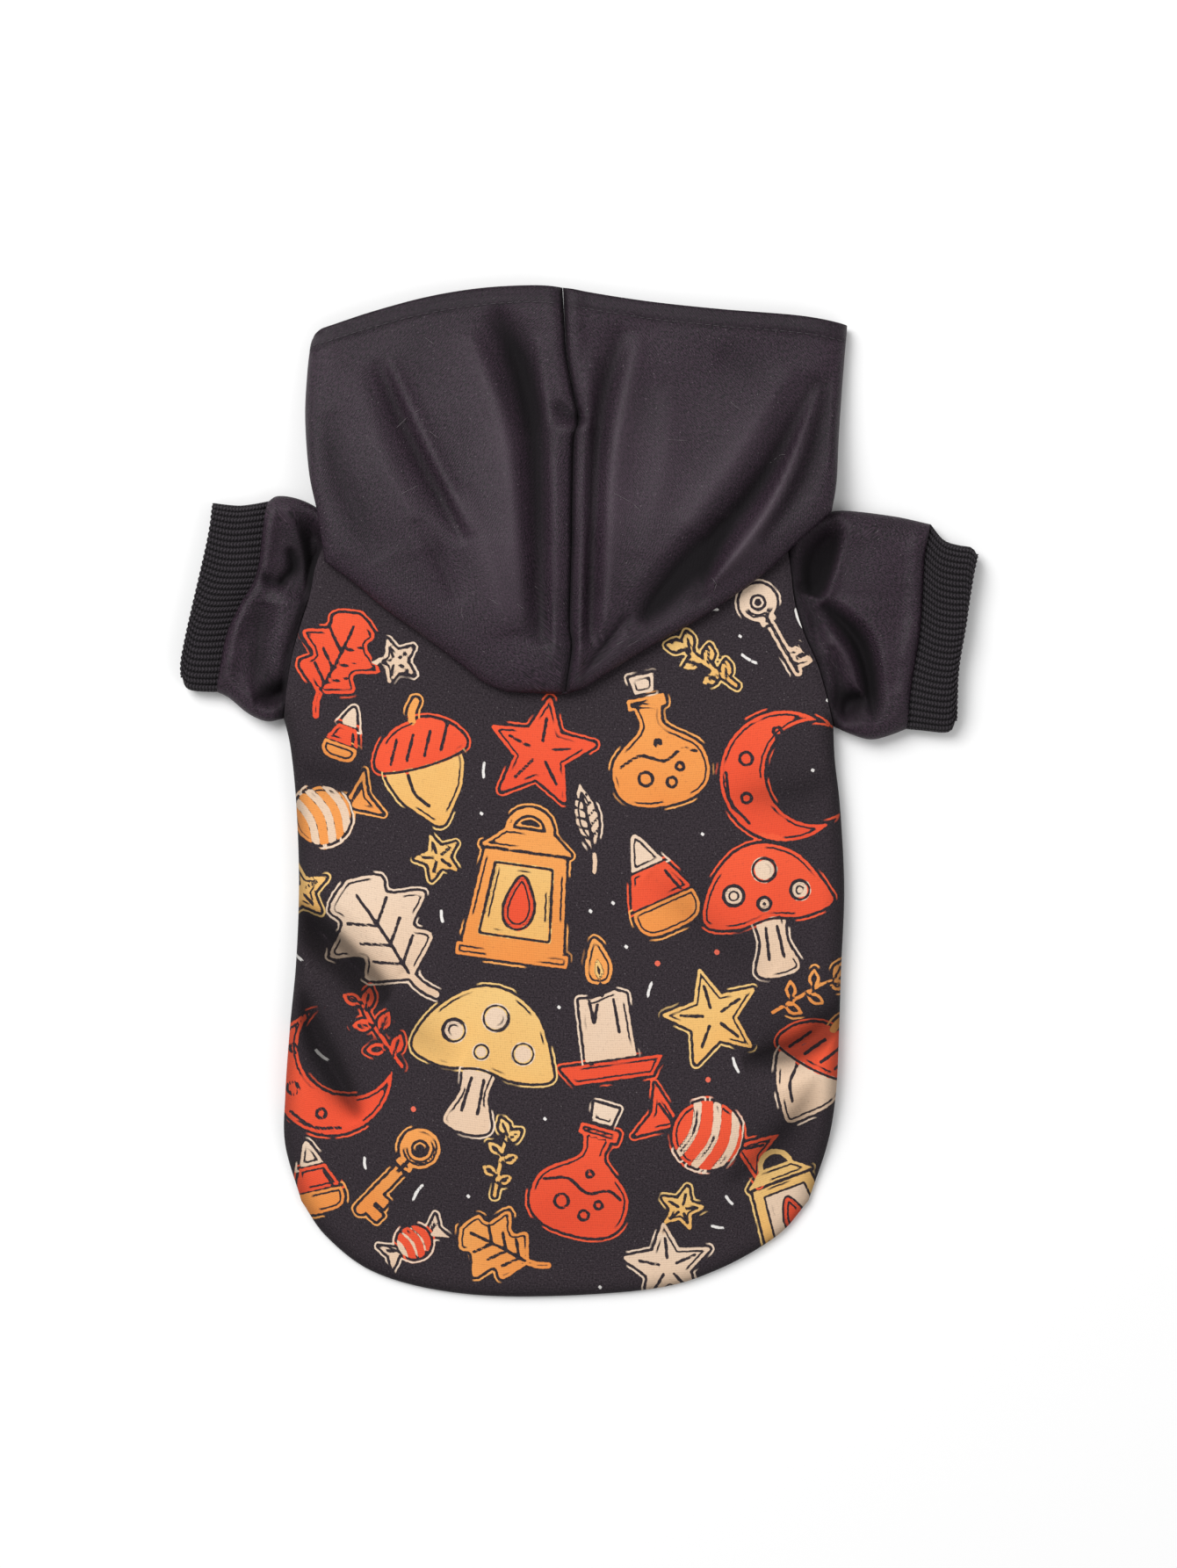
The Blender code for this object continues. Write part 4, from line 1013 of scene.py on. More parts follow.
class Brush:
    """Draws one motif in shares of its size, on the places near it."""

    def __init__(self, cloth_print, centre, size, turn, colour):
        self.print = cloth_print
        self.size = size
        self.colour = colour
        offset = cloth_print.places - centre
        reach = BRUSH_REACH * size + BRUSH_MARGIN
        self.near = np.flatnonzero(np.linalg.norm(offset, axis=1) < reach)
        cosine, sine = math.cos(math.radians(turn)), math.sin(math.radians(turn))
        self.at = offset[self.near] @ np.array([[cosine, -sine], [sine, cosine]]) / size

    def unless_own(self, colour, spare):
        """A second colour, or the spare one where it is the motif's own."""
        return spare if self.colour == colour else colour

    def outline(self, points):
        knots = np.array(points, float)
        return polygon_reach(self.at, curve(np.vstack([knots[-1:], knots, knots[:2]]), OUTLINE_STEPS))

    def corners(self, points):
        return polygon_reach(self.at, np.array(points, float))

    def block(self, top_half, top, foot_half, foot):
        return self.corners(mirrored((-top_half, top), (-foot_half, foot)))

    def disc(self, x, y, radius):
        return np.linalg.norm(self.at - (x, y), axis=1) - radius

    def line(self, *points, width=INK):
        path = smooth_line(points, LINE_STEPS) if len(points) > 2 else np.array(points, float)
        return distance_to(self.at, path) - 0.5 * width / self.size

    def fill(self, reach, colour=None):
        """Paints a shape in a colour and takes it out of the others."""
        metres = reach * self.size
        for name, field in self.print.reach.items():
            if name == (colour or self.colour):
                field[self.near] = np.minimum(field[self.near], metres)
            else:
                field[self.near] = np.maximum(field[self.near], -metres)
        outline = self.print.outline[self.near]
        self.print.outline[self.near] = np.where(metres < 0, metres, np.minimum(outline, metres))
        touched = metres < SHADE_REACH
        self.print.shade[self.near[touched]] = np.clip(self.at[touched, 1] + 0.5, 0.0, 1.0)

    def ink(self, reach):
        """Leaves the dark ground showing in a shape."""
        for field in self.print.reach.values():
            field[self.near] = np.maximum(field[self.near], -reach * self.size)

    def patch(self, reach, gap, colour=None):
        """A filled shape with a dark gap round it."""
        self.ink(reach - gap)
        self.fill(reach, colour)

    def stroke(self, *points, width=INK):
        self.ink(self.line(*points, width=width))

    def ring(self, x, y, radius):
        self.ink(np.abs(self.disc(x, y, radius)) - 0.5 * INK / self.size)


def mirrored(*half):
    """A closed outline from its left half and that half's mirror image."""
    return [*half, *((-x, y) for x, y in reversed(half))]


def polar(radius, step, steps):
    angle = math.pi / 2 + step * 2 * math.pi / steps
    return radius * math.cos(angle), radius * math.sin(angle)


def almond(x, y, turn, length, width):
    """Outline of a leaf from its base, pointing along the turn."""
    cosine, sine = math.cos(math.radians(turn)), math.sin(math.radians(turn))
    half = [(-max(width * math.sin(math.pi * s / 8), 0.004), length * s / 8) for s in range(9)]
    return [
        (x + along * cosine - out * sine, y + along * sine + out * cosine)
        for out, along in mirrored(*half)
    ]


def draw_moon(brush):
    brush.fill(np.maximum(brush.disc(0.0, 0.0, 0.46), -brush.disc(0.20, 0.10, 0.37)))
    for crater in ((-0.30, 0.02, 0.045), (-0.20, -0.24, 0.035), (-0.16, 0.28, 0.03)):
        brush.ring(*crater)
    brush.stroke((-0.40, -0.12), (-0.30, -0.30), (-0.12, -0.40))


def draw_star(brush):
    tips = [polar(0.22 if index % 2 else 0.48, index, 10) for index in range(10)]
    brush.fill(brush.corners(tips) - 0.02)
    for index in range(5):
        brush.stroke(polar(0.10, index, 5), polar(0.32, index, 5))


def draw_leaf(brush):
    half = []
    for share in np.arange(23) / 22:
        lobes = 1.0 + 0.30 * math.sin(5.5 * math.pi * share)
        wide = 0.30 * math.sin(math.pi * min(share, 0.999)) ** 0.65 * lobes
        half.append((-max(wide, 0.006), 0.46 - 0.78 * share))
    brush.fill(brush.corners(mirrored(*half)))
    brush.fill(brush.line((0.0, -0.28), (0.02, -0.40), (0.07, -0.50), width=2.0 * INK))
    brush.stroke((0.0, 0.34), (0.01, 0.0), (0.0, -0.28))
    for down in (0.16, 0.0, -0.15):
        for side in (-1, 1):
            brush.stroke((0.0, down - 0.06), (side * 0.16, down + 0.06))


def draw_toadstool(brush):
    stem = mirrored((-0.10, 0.02), (-0.09, -0.22), (-0.15, -0.42))
    stem.insert(3, (0.0, -0.47))
    brush.fill(brush.outline(stem), brush.unless_own("cream", "yellow"))
    cap = [(-0.45, -0.02), (-0.38, 0.22), (-0.18, 0.42), (0.05, 0.46), (0.28, 0.34)]
    cap += [(0.43, 0.08), (0.44, -0.03), (0.22, -0.08), (0.0, -0.05), (-0.24, -0.09)]
    brush.patch(brush.outline(cap), 0.02)
    spots = ((-0.22, 0.14, 0.07), (0.02, 0.28, 0.08), (0.24, 0.10, 0.065), (-0.02, 0.05, 0.045))
    for x, y, radius in spots:
        spot = brush.disc(x, y, radius - 0.012)
        brush.patch(spot, 0.024, brush.unless_own("cream", "orange"))
    for x in (-0.04, 0.04):
        brush.stroke((x, -0.12), (1.3 * x, -0.34))


def draw_candle(brush):
    wax = [(-0.15, 0.10), (-0.16, -0.34), (0.16, -0.34), (0.15, 0.10), (0.08, 0.13), (-0.06, 0.09)]
    brush.fill(brush.corners(wax) - 0.01)
    dish = brush.block(0.34, -0.33, 0.26, -0.45)
    brush.patch(dish - 0.004, 0.016, brush.unless_own("orange", "amber"))
    flame = [(0.0, 0.50), (0.09, 0.34), (0.07, 0.22), (0.0, 0.19), (-0.08, 0.23), (-0.08, 0.34)]
    brush.fill(brush.outline(flame), "amber")
    brush.fill(brush.outline([(0.0, 0.36), (0.03, 0.28), (0.0, 0.23), (-0.03, 0.28)]), "yellow")
    brush.stroke((0.0, 0.20), (0.0, 0.11))
    brush.stroke((-0.09, 0.08), (-0.08, -0.06), (-0.06, 0.0), (-0.04, 0.06))
    brush.stroke((0.07, 0.08), (0.08, -0.14))


def draw_bottle(brush):
    half = ((-0.09, 0.26), (-0.09, 0.10), (-0.32, -0.10), (-0.33, -0.34), (-0.16, -0.46))
    brush.fill(brush.outline(mirrored(*half)))
    brush.fill(brush.block(0.13, 0.31, 0.13, 0.25) - 0.01)
    brush.fill(brush.block(0.09, 0.48, 0.07, 0.35), "cream")
    brush.stroke((-0.28, -0.14), (-0.12, -0.09), (0.04, -0.16), (0.18, -0.10), (0.28, -0.14))
    bubbles = ((-0.12, -0.26, 0.05), (0.06, -0.32, 0.035), (0.14, -0.22, 0.028))
    for bubble in (*bubbles, (0.02, -0.02, 0.024)):
        brush.ring(*bubble)


def draw_acorn(brush):
    nut = mirrored((-0.26, 0.06), (-0.26, -0.18), (-0.12, -0.38))
    nut.insert(3, (0.0, -0.49))
    brush.fill(brush.outline(nut))
    cap = mirrored((-0.34, 0.04), (-0.31, 0.20), (-0.16, 0.32))
    cap.insert(3, (0.0, 0.35))
    brush.patch(brush.outline([*cap, (0.0, -0.01)]), 0.022, brush.unless_own("orange", "amber"))
    brush.fill(brush.line((0.0, 0.34), (0.02, 0.42), (0.07, 0.48), width=2.2 * INK), "amber")
    for x in (-0.20, -0.07, 0.07, 0.20):
        brush.stroke((x - 0.05, 0.06), (x + 0.05, 0.24))
    brush.stroke((-0.14, -0.04), (-0.13, -0.20), (-0.05, -0.32))


def draw_sweet(brush):
    for side in (-1, 1):
        wing = [(side * 0.20, 0.0), (side * 0.48, 0.20), (side * 0.42, 0.0), (side * 0.48, -0.20)]
        brush.fill(brush.corners(wing))
        brush.stroke((side * 0.27, 0.0), (side * 0.40, 0.08))
    ball = brush.disc(0.0, 0.0, 0.245)
    brush.patch(ball, 0.025)
    for shift in (-0.13, 0.02, 0.16):
        path = ((shift - 0.06, 0.30), (shift + 0.03, 0.0), (shift - 0.04, -0.30))
        stripe = np.maximum(brush.line(*path, width=2.4 * INK), ball)
        brush.fill(stripe, brush.unless_own("cream", "orange"))


def draw_key(brush):
    ring = np.abs(brush.disc(0.0, 0.30, 0.13)) - 0.042
    shaft = brush.line((0.0, 0.17), (0.0, -0.46), width=0.075 * brush.size)
    long_tooth = brush.corners([(0.0, -0.44), (0.17, -0.44), (0.17, -0.37), (0.0, -0.37)])
    tooth = brush.corners([(0.0, -0.31), (0.13, -0.31), (0.13, -0.24), (0.0, -0.24)])
    collar = brush.block(0.075, 0.12, 0.075, 0.08)
    brush.fill(np.minimum.reduce([ring, shaft, long_tooth, tooth, collar]) - 0.006)
    brush.stroke((-0.07, 0.055), (0.07, 0.055))


def draw_corn(brush):
    half = mirrored((-0.14, 0.20), (-0.30, -0.22), (-0.24, -0.42))
    half.insert(3, (0.0, -0.46))
    whole = brush.outline([*half, (0.0, 0.47)])
    for colour, low, high in (("cream", 0.16, 1.0), ("orange", -0.16, 0.14), ("amber", -1.0, -0.18)):
        band = np.maximum(low - brush.at[:, 1], brush.at[:, 1] - high)
        brush.fill(np.maximum(whole, band), colour)
    brush.stroke((0.13, 0.06), (0.19, -0.14))


def draw_lantern(brush):
    brush.fill(brush.block(0.24, 0.20, 0.30, -0.38) - 0.015)
    brush.fill(brush.block(0.34, -0.40, 0.34, -0.46) - 0.01)
    brush.fill(brush.block(0.14, 0.34, 0.27, 0.23) - 0.01)
    handle = np.abs(brush.disc(0.0, 0.34, 0.13)) - 0.022
    brush.fill(np.maximum(handle, 0.34 - brush.at[:, 1]))
    brush.patch(brush.block(0.17, 0.12, 0.21, -0.31), 0.02, brush.unless_own("yellow", "cream"))
    flame = [(0.0, 0.06), (0.09, -0.10), (0.07, -0.22), (0.0, -0.26), (-0.07, -0.22), (-0.08, -0.10)]
    brush.patch(brush.outline(flame), 0.018, "orange")
    brush.stroke((-0.27, 0.215), (0.27, 0.215))


def draw_sprig(brush):
    brush.fill(brush.line((-0.26, -0.46), (-0.10, -0.12), (0.04, 0.18), (0.16, 0.34)))
    leaves = ((-0.20, -0.30, 10), (-0.15, -0.20, 128), (-0.04, -0.02, 6), (0.0, 0.08, 122))
    for x, y, turn in (*leaves, (0.10, 0.26, 20), (0.15, 0.33, 96)):
        brush.fill(brush.corners(almond(x, y, turn, 0.27, 0.075)))
        angle = math.radians(turn)
        end = (x + 0.19 * math.cos(angle), y + 0.19 * math.sin(angle))
        brush.stroke((x, y), end, width=0.8 * INK)


def draw_feather(brush):
    brush.fill(brush.corners(almond(-0.16, -0.30, 62, 0.82, 0.135)))
    brush.fill(brush.line((-0.32, -0.50), (-0.24, -0.42), (-0.16, -0.30), width=1.2 * INK))
    brush.stroke((-0.16, -0.30), (0.02, 0.02), (0.17, 0.32))
    for step in range(5):
        x, y = -0.10 + 0.055 * step, -0.16 + 0.105 * step
        brush.stroke((x, y), (x - 0.09, y + 0.13), width=0.8 * INK)
        brush.stroke((x, y), (x + 0.16, y + 0.03), width=0.8 * INK)


# Motifs of the print: place, size in shares of BODY_WIDTH, turn in degrees, and colour
MOTIFS = (
    (draw_leaf, -0.425, 0.19, 0.205, -28, "orange"),
    (draw_key, 0.365, 0.15, 0.19, 30, "cream"),
    (draw_acorn, -0.265, 0.32, 0.235, 16, "yellow"),
    (draw_star, -0.055, 0.305, 0.2, -10, "orange"),
    (draw_bottle, 0.15, 0.29, 0.25, 12, "amber"),
    (draw_moon, 0.385, 0.335, 0.255, -20, "orange"),
    (draw_sweet, -0.45, 0.385, 0.215, 24, "amber"),
    (draw_lantern, -0.09, 0.475, 0.29, -8, "amber"),
    (draw_corn, 0.15, 0.47, 0.2, 24, "cream"),
    (draw_toadstool, 0.355, 0.505, 0.26, 10, "orange"),
    (draw_leaf, -0.335, 0.54, 0.27, 34, "cream"),
    (draw_candle, 0.06, 0.635, 0.27, 8, "cream"),
    (draw_star, 0.255, 0.64, 0.18, 16, "yellow"),
    (draw_toadstool, -0.16, 0.695, 0.285, -14, "yellow"),
    (draw_moon, -0.435, 0.71, 0.245, 28, "orange"),
    (draw_key, -0.315, 0.838, 0.205, -44, "amber"),
    (draw_acorn, 0.44, 0.705, 0.225, -26, "cream"),
    (draw_sweet, 0.245, 0.79, 0.255, -22, "orange"),
    (draw_bottle, 0.03, 0.835, 0.255, -16, "orange"),
    (draw_leaf, -0.128, 0.936, 0.18, 62, "amber"),
    (draw_corn, -0.464, 0.845, 0.145, 14, "cream"),
    (draw_lantern, 0.395, 0.88, 0.215, 20, "yellow"),
    (draw_star, 0.175, 0.96, 0.165, 6, "cream"),
    (draw_corn, -0.408, 0.282, 0.105, -20, "cream"),
    (draw_star, -0.24, 0.438, 0.085, 20, "yellow"),
    (draw_feather, 0.03, 0.395, 0.15, 40, "cream"),
    (draw_sprig, -0.345, 0.655, 0.15, 60, "orange"),
    (draw_sprig, 0.43, 0.612, 0.14, -35, "amber"),
    (draw_sprig, -0.122, 0.822, 0.125, 15, "yellow"),
    (draw_star, 0.2, 0.885, 0.085, -14, "yellow"),
    (draw_sweet, -0.285, 0.928, 0.125, 30, "cream"),
    (draw_star, -0.49, 0.48, 0.11, 8, "yellow"),
    (draw_sprig, 0.245, 0.19, 0.13, 80, "yellow"),
    (draw_star, -0.318, 0.19, 0.085, 20, "cream"),
)
MARKS = 420
MARK_CLEARANCE = 0.0075
DASH_SHARE, SPARK_SHARE = 0.36, 0.72
DASH_WIDTH = 0.0011
DOT_RADIUS = 0.0011


def scatter_marks(cloth_print, random):
    """White dashes and dots, and red dots, in the free ground between the motifs."""
    for _ in range(MARKS):
        spot = on_body((random.uniform(-0.5, 0.5), random.uniform(0.10, 0.99)))
        length, turn, kind = random.uniform(0.004, 0.008), random.uniform(0, 180), random.uniform()
        nearest = int(np.argmin(np.linalg.norm(cloth_print.places - spot, axis=1)))
        if min(field[nearest] for field in cloth_print.reach.values()) < MARK_CLEARANCE:
            continue
        colour = "spark" if DASH_SHARE <= kind < SPARK_SHARE else "white"
        brush = Brush(cloth_print, cloth_print.places[nearest], length, turn, colour)
        if kind < DASH_SHARE:
            brush.fill(brush.line((-0.5, 0.0), (0.0, 0.05), (0.5, 0.0), width=DASH_WIDTH))
        else:
            radius = DOT_RADIUS if colour == "spark" else 0.7 * DOT_RADIUS
            brush.fill(brush.disc(0.0, 0.0, radius / length))


def print_cloth(mesh, settings):
    """Works out the print's distances and its painted shade, and keeps them on the cloth for its
    material.
    """
    flat = np.zeros(3 * len(mesh.vertices), np.float32)
    mesh.attributes["flat"].data.foreach_get("vector", flat)
    cloth_print = Print(flat.reshape(-1, 3)[:, :2].astype(float))
    for draw, across, down, size, turn, colour in MOTIFS:
        metres = size * BODY_WIDTH * settings.motif_scale
        draw(Brush(cloth_print, on_body((across, down)), metres, turn, colour))
    scatter_marks(cloth_print, np.random.default_rng(settings.print_seed))
    # Painted shade: darker in the back's folds and within a few millimetres of its edges
    folds = fold_rise(cloth_print.places, BACK_FOLDS, on_body, BODY_WIDTH)
    to_edge = distance_to(cloth_print.places, *Body(INSIDE_STEPS).closed)
    edges = EDGE_SHADE_DEPTH * bell(to_edge / EDGE_SHADE)
    shadow = np.maximum(in_shade(folds, BACK_SHADE), edges)
    reach = cloth_print.reach
    for name, parts in (
        ("print_warm", (reach["orange"], reach["amber"], reach["yellow"])),
        ("print_pale", (reach["cream"], reach["white"], cloth_print.shade)),
        ("print_marks_and_painted_shade", (cloth_print.outline, reach["spark"], shadow)),
    ):
        layer = mesh.attributes.new(name, "FLOAT_VECTOR", "POINT")
        layer.data.foreach_set("vector", np.stack(parts, axis=1).astype(np.float32).ravel())


class Value:
    """An output of a shader node, on which arithmetic adds Math nodes."""

    def __init__(self, shader, socket):
        self.shader = shader
        self.socket = socket

    def __add__(self, other):
        return self.shader.math("ADD", self, other)

    def __sub__(self, other):
        return self.shader.math("SUBTRACT", self, other)

    def __rsub__(self, other):
        return self.shader.math("SUBTRACT", other, self)

    def __mul__(self, other):
        return self.shader.math("MULTIPLY", self, other)

    def __truediv__(self, other):
        return self.shader.math("DIVIDE", self, other)

    __radd__ = __add__
    __rmul__ = __mul__

    def sin(self):
        return self.shader.math("SINE", self)

    def size(self):
        return self.shader.math("ABSOLUTE", self)

    def clamped(self):
        return self.shader.math("MINIMUM", self.shader.math("MAXIMUM", self, 0.0), 1.0)


class Shader:
    """A material's node tree, with one method that adds any node."""

    def __init__(self, name):
        self.material = bpy.data.materials.new(name)
        self.material.use_nodes = True
        self.tree = self.material.node_tree

    def add(self, kind, settings=None, inputs=None):
        node = self.tree.nodes.new(kind)
        for key, value in (settings or {}).items():
            setattr(node, key, value)
        self.feed(node, inputs or {})
        return node

    def feed(self, node, inputs):
        """Links or sets a node's sockets, each by its name or number."""
        for key, value in inputs.items():
            if isinstance(value, Value):
                self.tree.links.new(value.socket, node.inputs[key])
            else:
                node.inputs[key].default_value = value

    def out(self, node, key=0):
        return Value(self, node.outputs[key])

    def math(self, operation, *operands):
        node = self.add("ShaderNodeMath", {"operation": operation}, dict(enumerate(operands)))
        return self.out(node)

    def noise(self, where, scale, detail=2.0, roughness=0.5):
        inputs = {"Vector": where, "Scale": scale, "Detail": detail, "Roughness": roughness}
        return self.out(self.add("ShaderNodeTexNoise", {}, inputs), "Fac")

    def parts(self, vector):
        node = self.add("ShaderNodeSeparateXYZ", {}, {0: vector})
        return [self.out(node, index) for index in range(3)]

    def kept(self, name):
        """The three numbers that the cloth's corners keep under a name."""
        node = self.add("ShaderNodeAttribute", {"attribute_name": name})
        return self.parts(self.out(node, "Vector"))

    def flat_cloth(self):
        """Place on the flat cloth, in metres, whole and as its two parts."""
        uv = self.out(self.add("ShaderNodeUVMap", {"uv_map": "cloth"}))
        return uv, *self.parts(uv)[:2]

    def mix(self, share, first, second):
        node = self.add("ShaderNodeMix", {"data_type": "RGBA"}, {0: share, 6: first, 7: second})
        return self.out(node, 2)

    def bump(self, height, distance, strength):
        inputs = {"Height": height, "Distance": distance, "Strength": strength}
        return self.out(self.add("ShaderNodeBump", {}, inputs))

    def finish(self, colour, roughness, normal, sheen=0.0, specular=0.5):
        inputs = {"Base Color": colour, "Roughness": roughness, "Normal": normal}
        inputs.update({"Sheen Weight": sheen, "Specular IOR Level": specular})
        self.feed(self.tree.nodes["Principled BSDF"], inputs)
        return self.material


def specks(noise, limit):
    """The few places where a noise goes past a limit."""
    return ((noise - limit) * 9.0).clamped()


def printed_colour(shader, uv, ground, colours, sizes):
    """The print over its ground: loose thin lines round each colour, fills and ink lines."""
    orange, amber, yellow = shader.kept("print_warm")
    cream, white, shade = shader.kept("print_pale")
    outline, spark, shadow = shader.kept("print_marks_and_painted_shade")
    wobble = (shader.noise(uv, 420.0, 2.0) - 0.5) * 0.0009
    tone = (shade * 0.75 + shader.noise(uv, 60.0, 3.0) * 0.5 - 0.12).clamped()
    broken = (shader.noise(uv, 48.0, 1.0) - 0.5) * 30.0

    def within(reach):
        return (0.5 - reach / sizes.print_softness).clamped()

    fills = (
        (orange, colours.orange, colours.orange_deep),
        (amber, colours.amber, colours.amber_deep),
        (yellow, colours.yellow, colours.yellow_deep),
        (cream, colours.cream, colours.cream_deep),
    )
    colour = ground
    for reach, light, _ in fills:
        line = (reach + wobble - sizes.line_offset).size() - 0.5 * sizes.line_width
        colour = shader.mix(within(line) * (broken + 0.5).clamped(), colour, light)
    for reach, light, deep in fills:
        colour = shader.mix(within(reach + wobble), colour, shader.mix(tone, deep, light))
    line = (outline + wobble + sizes.line_offset).size() - 0.55 * sizes.line_width
    colour = shader.mix(within(line) * (0.4 - broken).clamped(), colour, ground)
    for reach, light in ((white, colours.white), (spark, colours.spark)):
        colour = shader.mix(within(reach + wobble * 0.5), colour, light)
    worn = (shader.noise(uv, 900.0, 2.0) - 0.56).clamped() * 0.9
    # Painted shade over the worn print, in the back's folds and near its edges
    return shader.mix(shadow * 0.7, shader.mix(worn, colour, ground), colours.shade)


def jersey_material(colours, sizes, printed):
    """Jersey: fine knit and heather, with the print on its outer face."""
    shader = Shader("printed_jersey_cloth" if printed else "plain_jersey_cloth")
    uv, u, v = shader.flat_cloth()
    fleck = shader.noise(uv, 1400.0, 2.0, 0.7)
    heather = ((fleck - 0.5) * 3.2 + 0.5).clamped()
    colour = shader.mix(heather, colours.ground_deep, colours.ground)
    speck = specks(shader.noise(uv, 1150.0, 1.0), 0.68)
    colour = shader.mix(speck * 0.3, colour, colours.lint)
    if printed:
        colour = printed_colour(shader, uv, colour, colours, sizes)
    wale = (u * (2 * math.pi / sizes.knit_pitch)).sin().size()
    course = (v * (2 * math.pi / (0.8 * sizes.knit_pitch)) + wale * 1.2).sin()
    knit = wale * 0.5 + course * 0.2 + shader.noise(uv, 700.0, 2.0) * 0.6
    normal = shader.bump(knit, 0.00025, 0.5)
    return shader.finish(colour, 0.82 + fleck * 0.1, normal, sheen=0.03, specular=0.15)


def twill_material(colours, sizes):
    """Satin twill: fine diagonal lines and flecks, a darker hem, painted shade in folds and seams,
    painted highlight on crests.
    """
    shader = Shader("black_twill_cloth")
    uv, u, v = shader.flat_cloth()
    wander = shader.noise(uv, 90.0, 2.0) * 1.4
    slant = u + v * 0.9
    line = (slant * (2 * math.pi / sizes.twill_pitch) + wander).sin()
    inputs = {0: slant * 1700.0, 1: (u - v) * 420.0}
    yarn = shader.noise(shader.out(shader.add("ShaderNodeCombineXYZ", {}, inputs)), 1.0, 2.0)
    blot = (shader.noise(uv, 28.0, 3.0) - 0.5) * 0.8
    fleck = shader.noise(uv, 1500.0, 2.0, 0.7)
    grain = (fleck - 0.5) * 3.8 + (yarn - 0.5) * 2.8
    tone = (blot + grain + line * 0.05 + 0.5).clamped()
    hem, deep, crest = shader.kept("finish")
    colour = shader.mix(tone, colours.cloth_deep, colours.cloth)
    speck = specks(shader.noise(uv, 1250.0, 1.0), 0.69)
    # Lint specks and a darker hem, then painted highlight on the crests and painted shade in the
    # folds and seams
    for share, over in (
        (speck * 0.4, colours.lint),
        (hem * 0.35, colours.cloth_deep),
        (crest * 0.55, colours.cloth_painted_highlight),
        (deep * 0.95, colours.shade),
    ):
        colour = shader.mix(share, colour, over)
    normal = shader.bump(line * 0.15 + yarn * 1.4 + fleck, 0.00028, 0.6)
    return shader.finish(colour, 0.42 + yarn * 0.16 + deep * 0.4, normal, specular=0.24)


def rib_material(colours, sizes):
    """Matt rib knit: small knit stitches along each rib, and painted shade in the grooves."""
    shader = Shader("rib_knit")
    uv, u, v = shader.flat_cloth()
    arch = (u * (math.pi / sizes.rib_pitch)).sin().size() * 2.4
    stitch = (v * (2 * math.pi / sizes.rib_stitch) + arch).sin()
    fuzz = shader.noise(uv, 1400.0, 2.0)
    tone = (fuzz * 0.8 + stitch * 0.35).clamped()
    _, groove, _ = shader.kept("finish")
    colour = shader.mix(tone, colours.rib_deep, colours.rib)
    # Painted shade in the grooves between the ribs
    colour = shader.mix(groove * 0.92, colour, colours.shade)
    normal = shader.bump(stitch * 0.9 + fuzz * 0.6, 0.0004, 0.8)
    return shader.finish(colour, 0.86, normal, sheen=0.03, specular=0.15)


def plain_material(name, scale, detail, share, first, second, roughness, relief):
    """A matt finish with a slight grain on Object coordinates."""
    shader = Shader(name)
    where = shader.out(shader.add("ShaderNodeTexCoord"), "Object")
    tone = shader.noise(where, scale, detail)
    normal = shader.bump(tone, 0.0001, relief)
    return shader.finish(shader.mix(tone * share, first, second), roughness, normal)


def along_run(start, end):
    """Matrix that takes an upright shape to the middle of a run, along it."""
    turn = (end - start).to_track_quat("Z", "Y").to_matrix().to_4x4()
    return Matrix.Translation(0.5 * (start + end)) @ turn


def stitch_row(sheet, path, sizes):
    """Small bars of thread along a path over the cloth, one after another."""
    pitch = sizes.stitch + sizes.stitch_gap
    count = max(2, int(travel(path)[-1] / pitch))
    ends = [Vector(end) for end in at_shares(path, np.linspace(0.0, 1.0, 2 * count + 1))]
    radius = 0.5 * sizes.thread
    for start, end in zip(ends[:-1:2], ends[1::2]):
        half = (end - start).length * sizes.stitch / pitch
        matrix = along_run(start, end) @ Matrix.Diagonal((radius, radius, half, 1.0))
        bmesh.ops.create_uvsphere(sheet, u_segments=6, v_segments=5, radius=1.0, matrix=matrix)


def bar(sheet, start, end, radius):
    """A straight piece of thread between two places."""
    depth = (end - start).length
    bmesh.ops.create_cone(
        sheet, cap_ends=True, segments=5, radius1=radius, radius2=radius, depth=depth,
        matrix=along_run(start, end),
    )


# Loose fibres: seed, count on each half of the hood, and cells left free before and after
LINT_SEED, LINT_COUNT = 3, 7
LINT_ROWS, LINT_COLUMNS = (8, 12), (4, 16)


def scatter_lint(sheet, points, random, count, sizes):
    """Short loose fibres that lie on a cloth, each along a few corners of its grid."""
    rows, columns = points.shape[0], points.shape[1]
    lift = Vector((0.0, 0.0, 0.4 * sizes.thread))
    for _ in range(count):
        row = random.integers(LINT_ROWS[0], rows - LINT_ROWS[1])
        column = random.integers(LINT_COLUMNS[0], columns - LINT_COLUMNS[1])
        down, along = random.integers(-1, 2), random.integers(1, 3)
        path = []
        for step in range(random.integers(2, 5)):
            line = points[np.clip(row + step * down + (step * step) // 5, 0, rows - 1)]
            path.append(Vector(line[np.clip(column + step * along, 0, columns - 1)]))
        for start, end in zip(path, path[1:]):
            if (end - start).length > WELD:
                bar(sheet, start + lift, end + lift, sizes.lint)


def at_depth(points, depth, lift):
    """A path across a grid's columns, at a depth from its first row."""
    path = []
    for column in range(points.shape[1]):
        line = points[:, column]
        share = min(depth / travel(line)[-1], 1.0)
        path.append(at_shares(line, [share])[0] + (0.0, 0.0, lift))
    return np.array(path)


def length_property(name, description, default):
    return bpy.props.FloatProperty(
        name=name, description=description, default=default, unit="LENGTH"
    )


def colour_property(name, description, value):
    return bpy.props.FloatVectorProperty(
        name=name, description=description, subtype="COLOR", size=4, min=0.0, max=1.0,
        default=(*value, 1.0),
    )


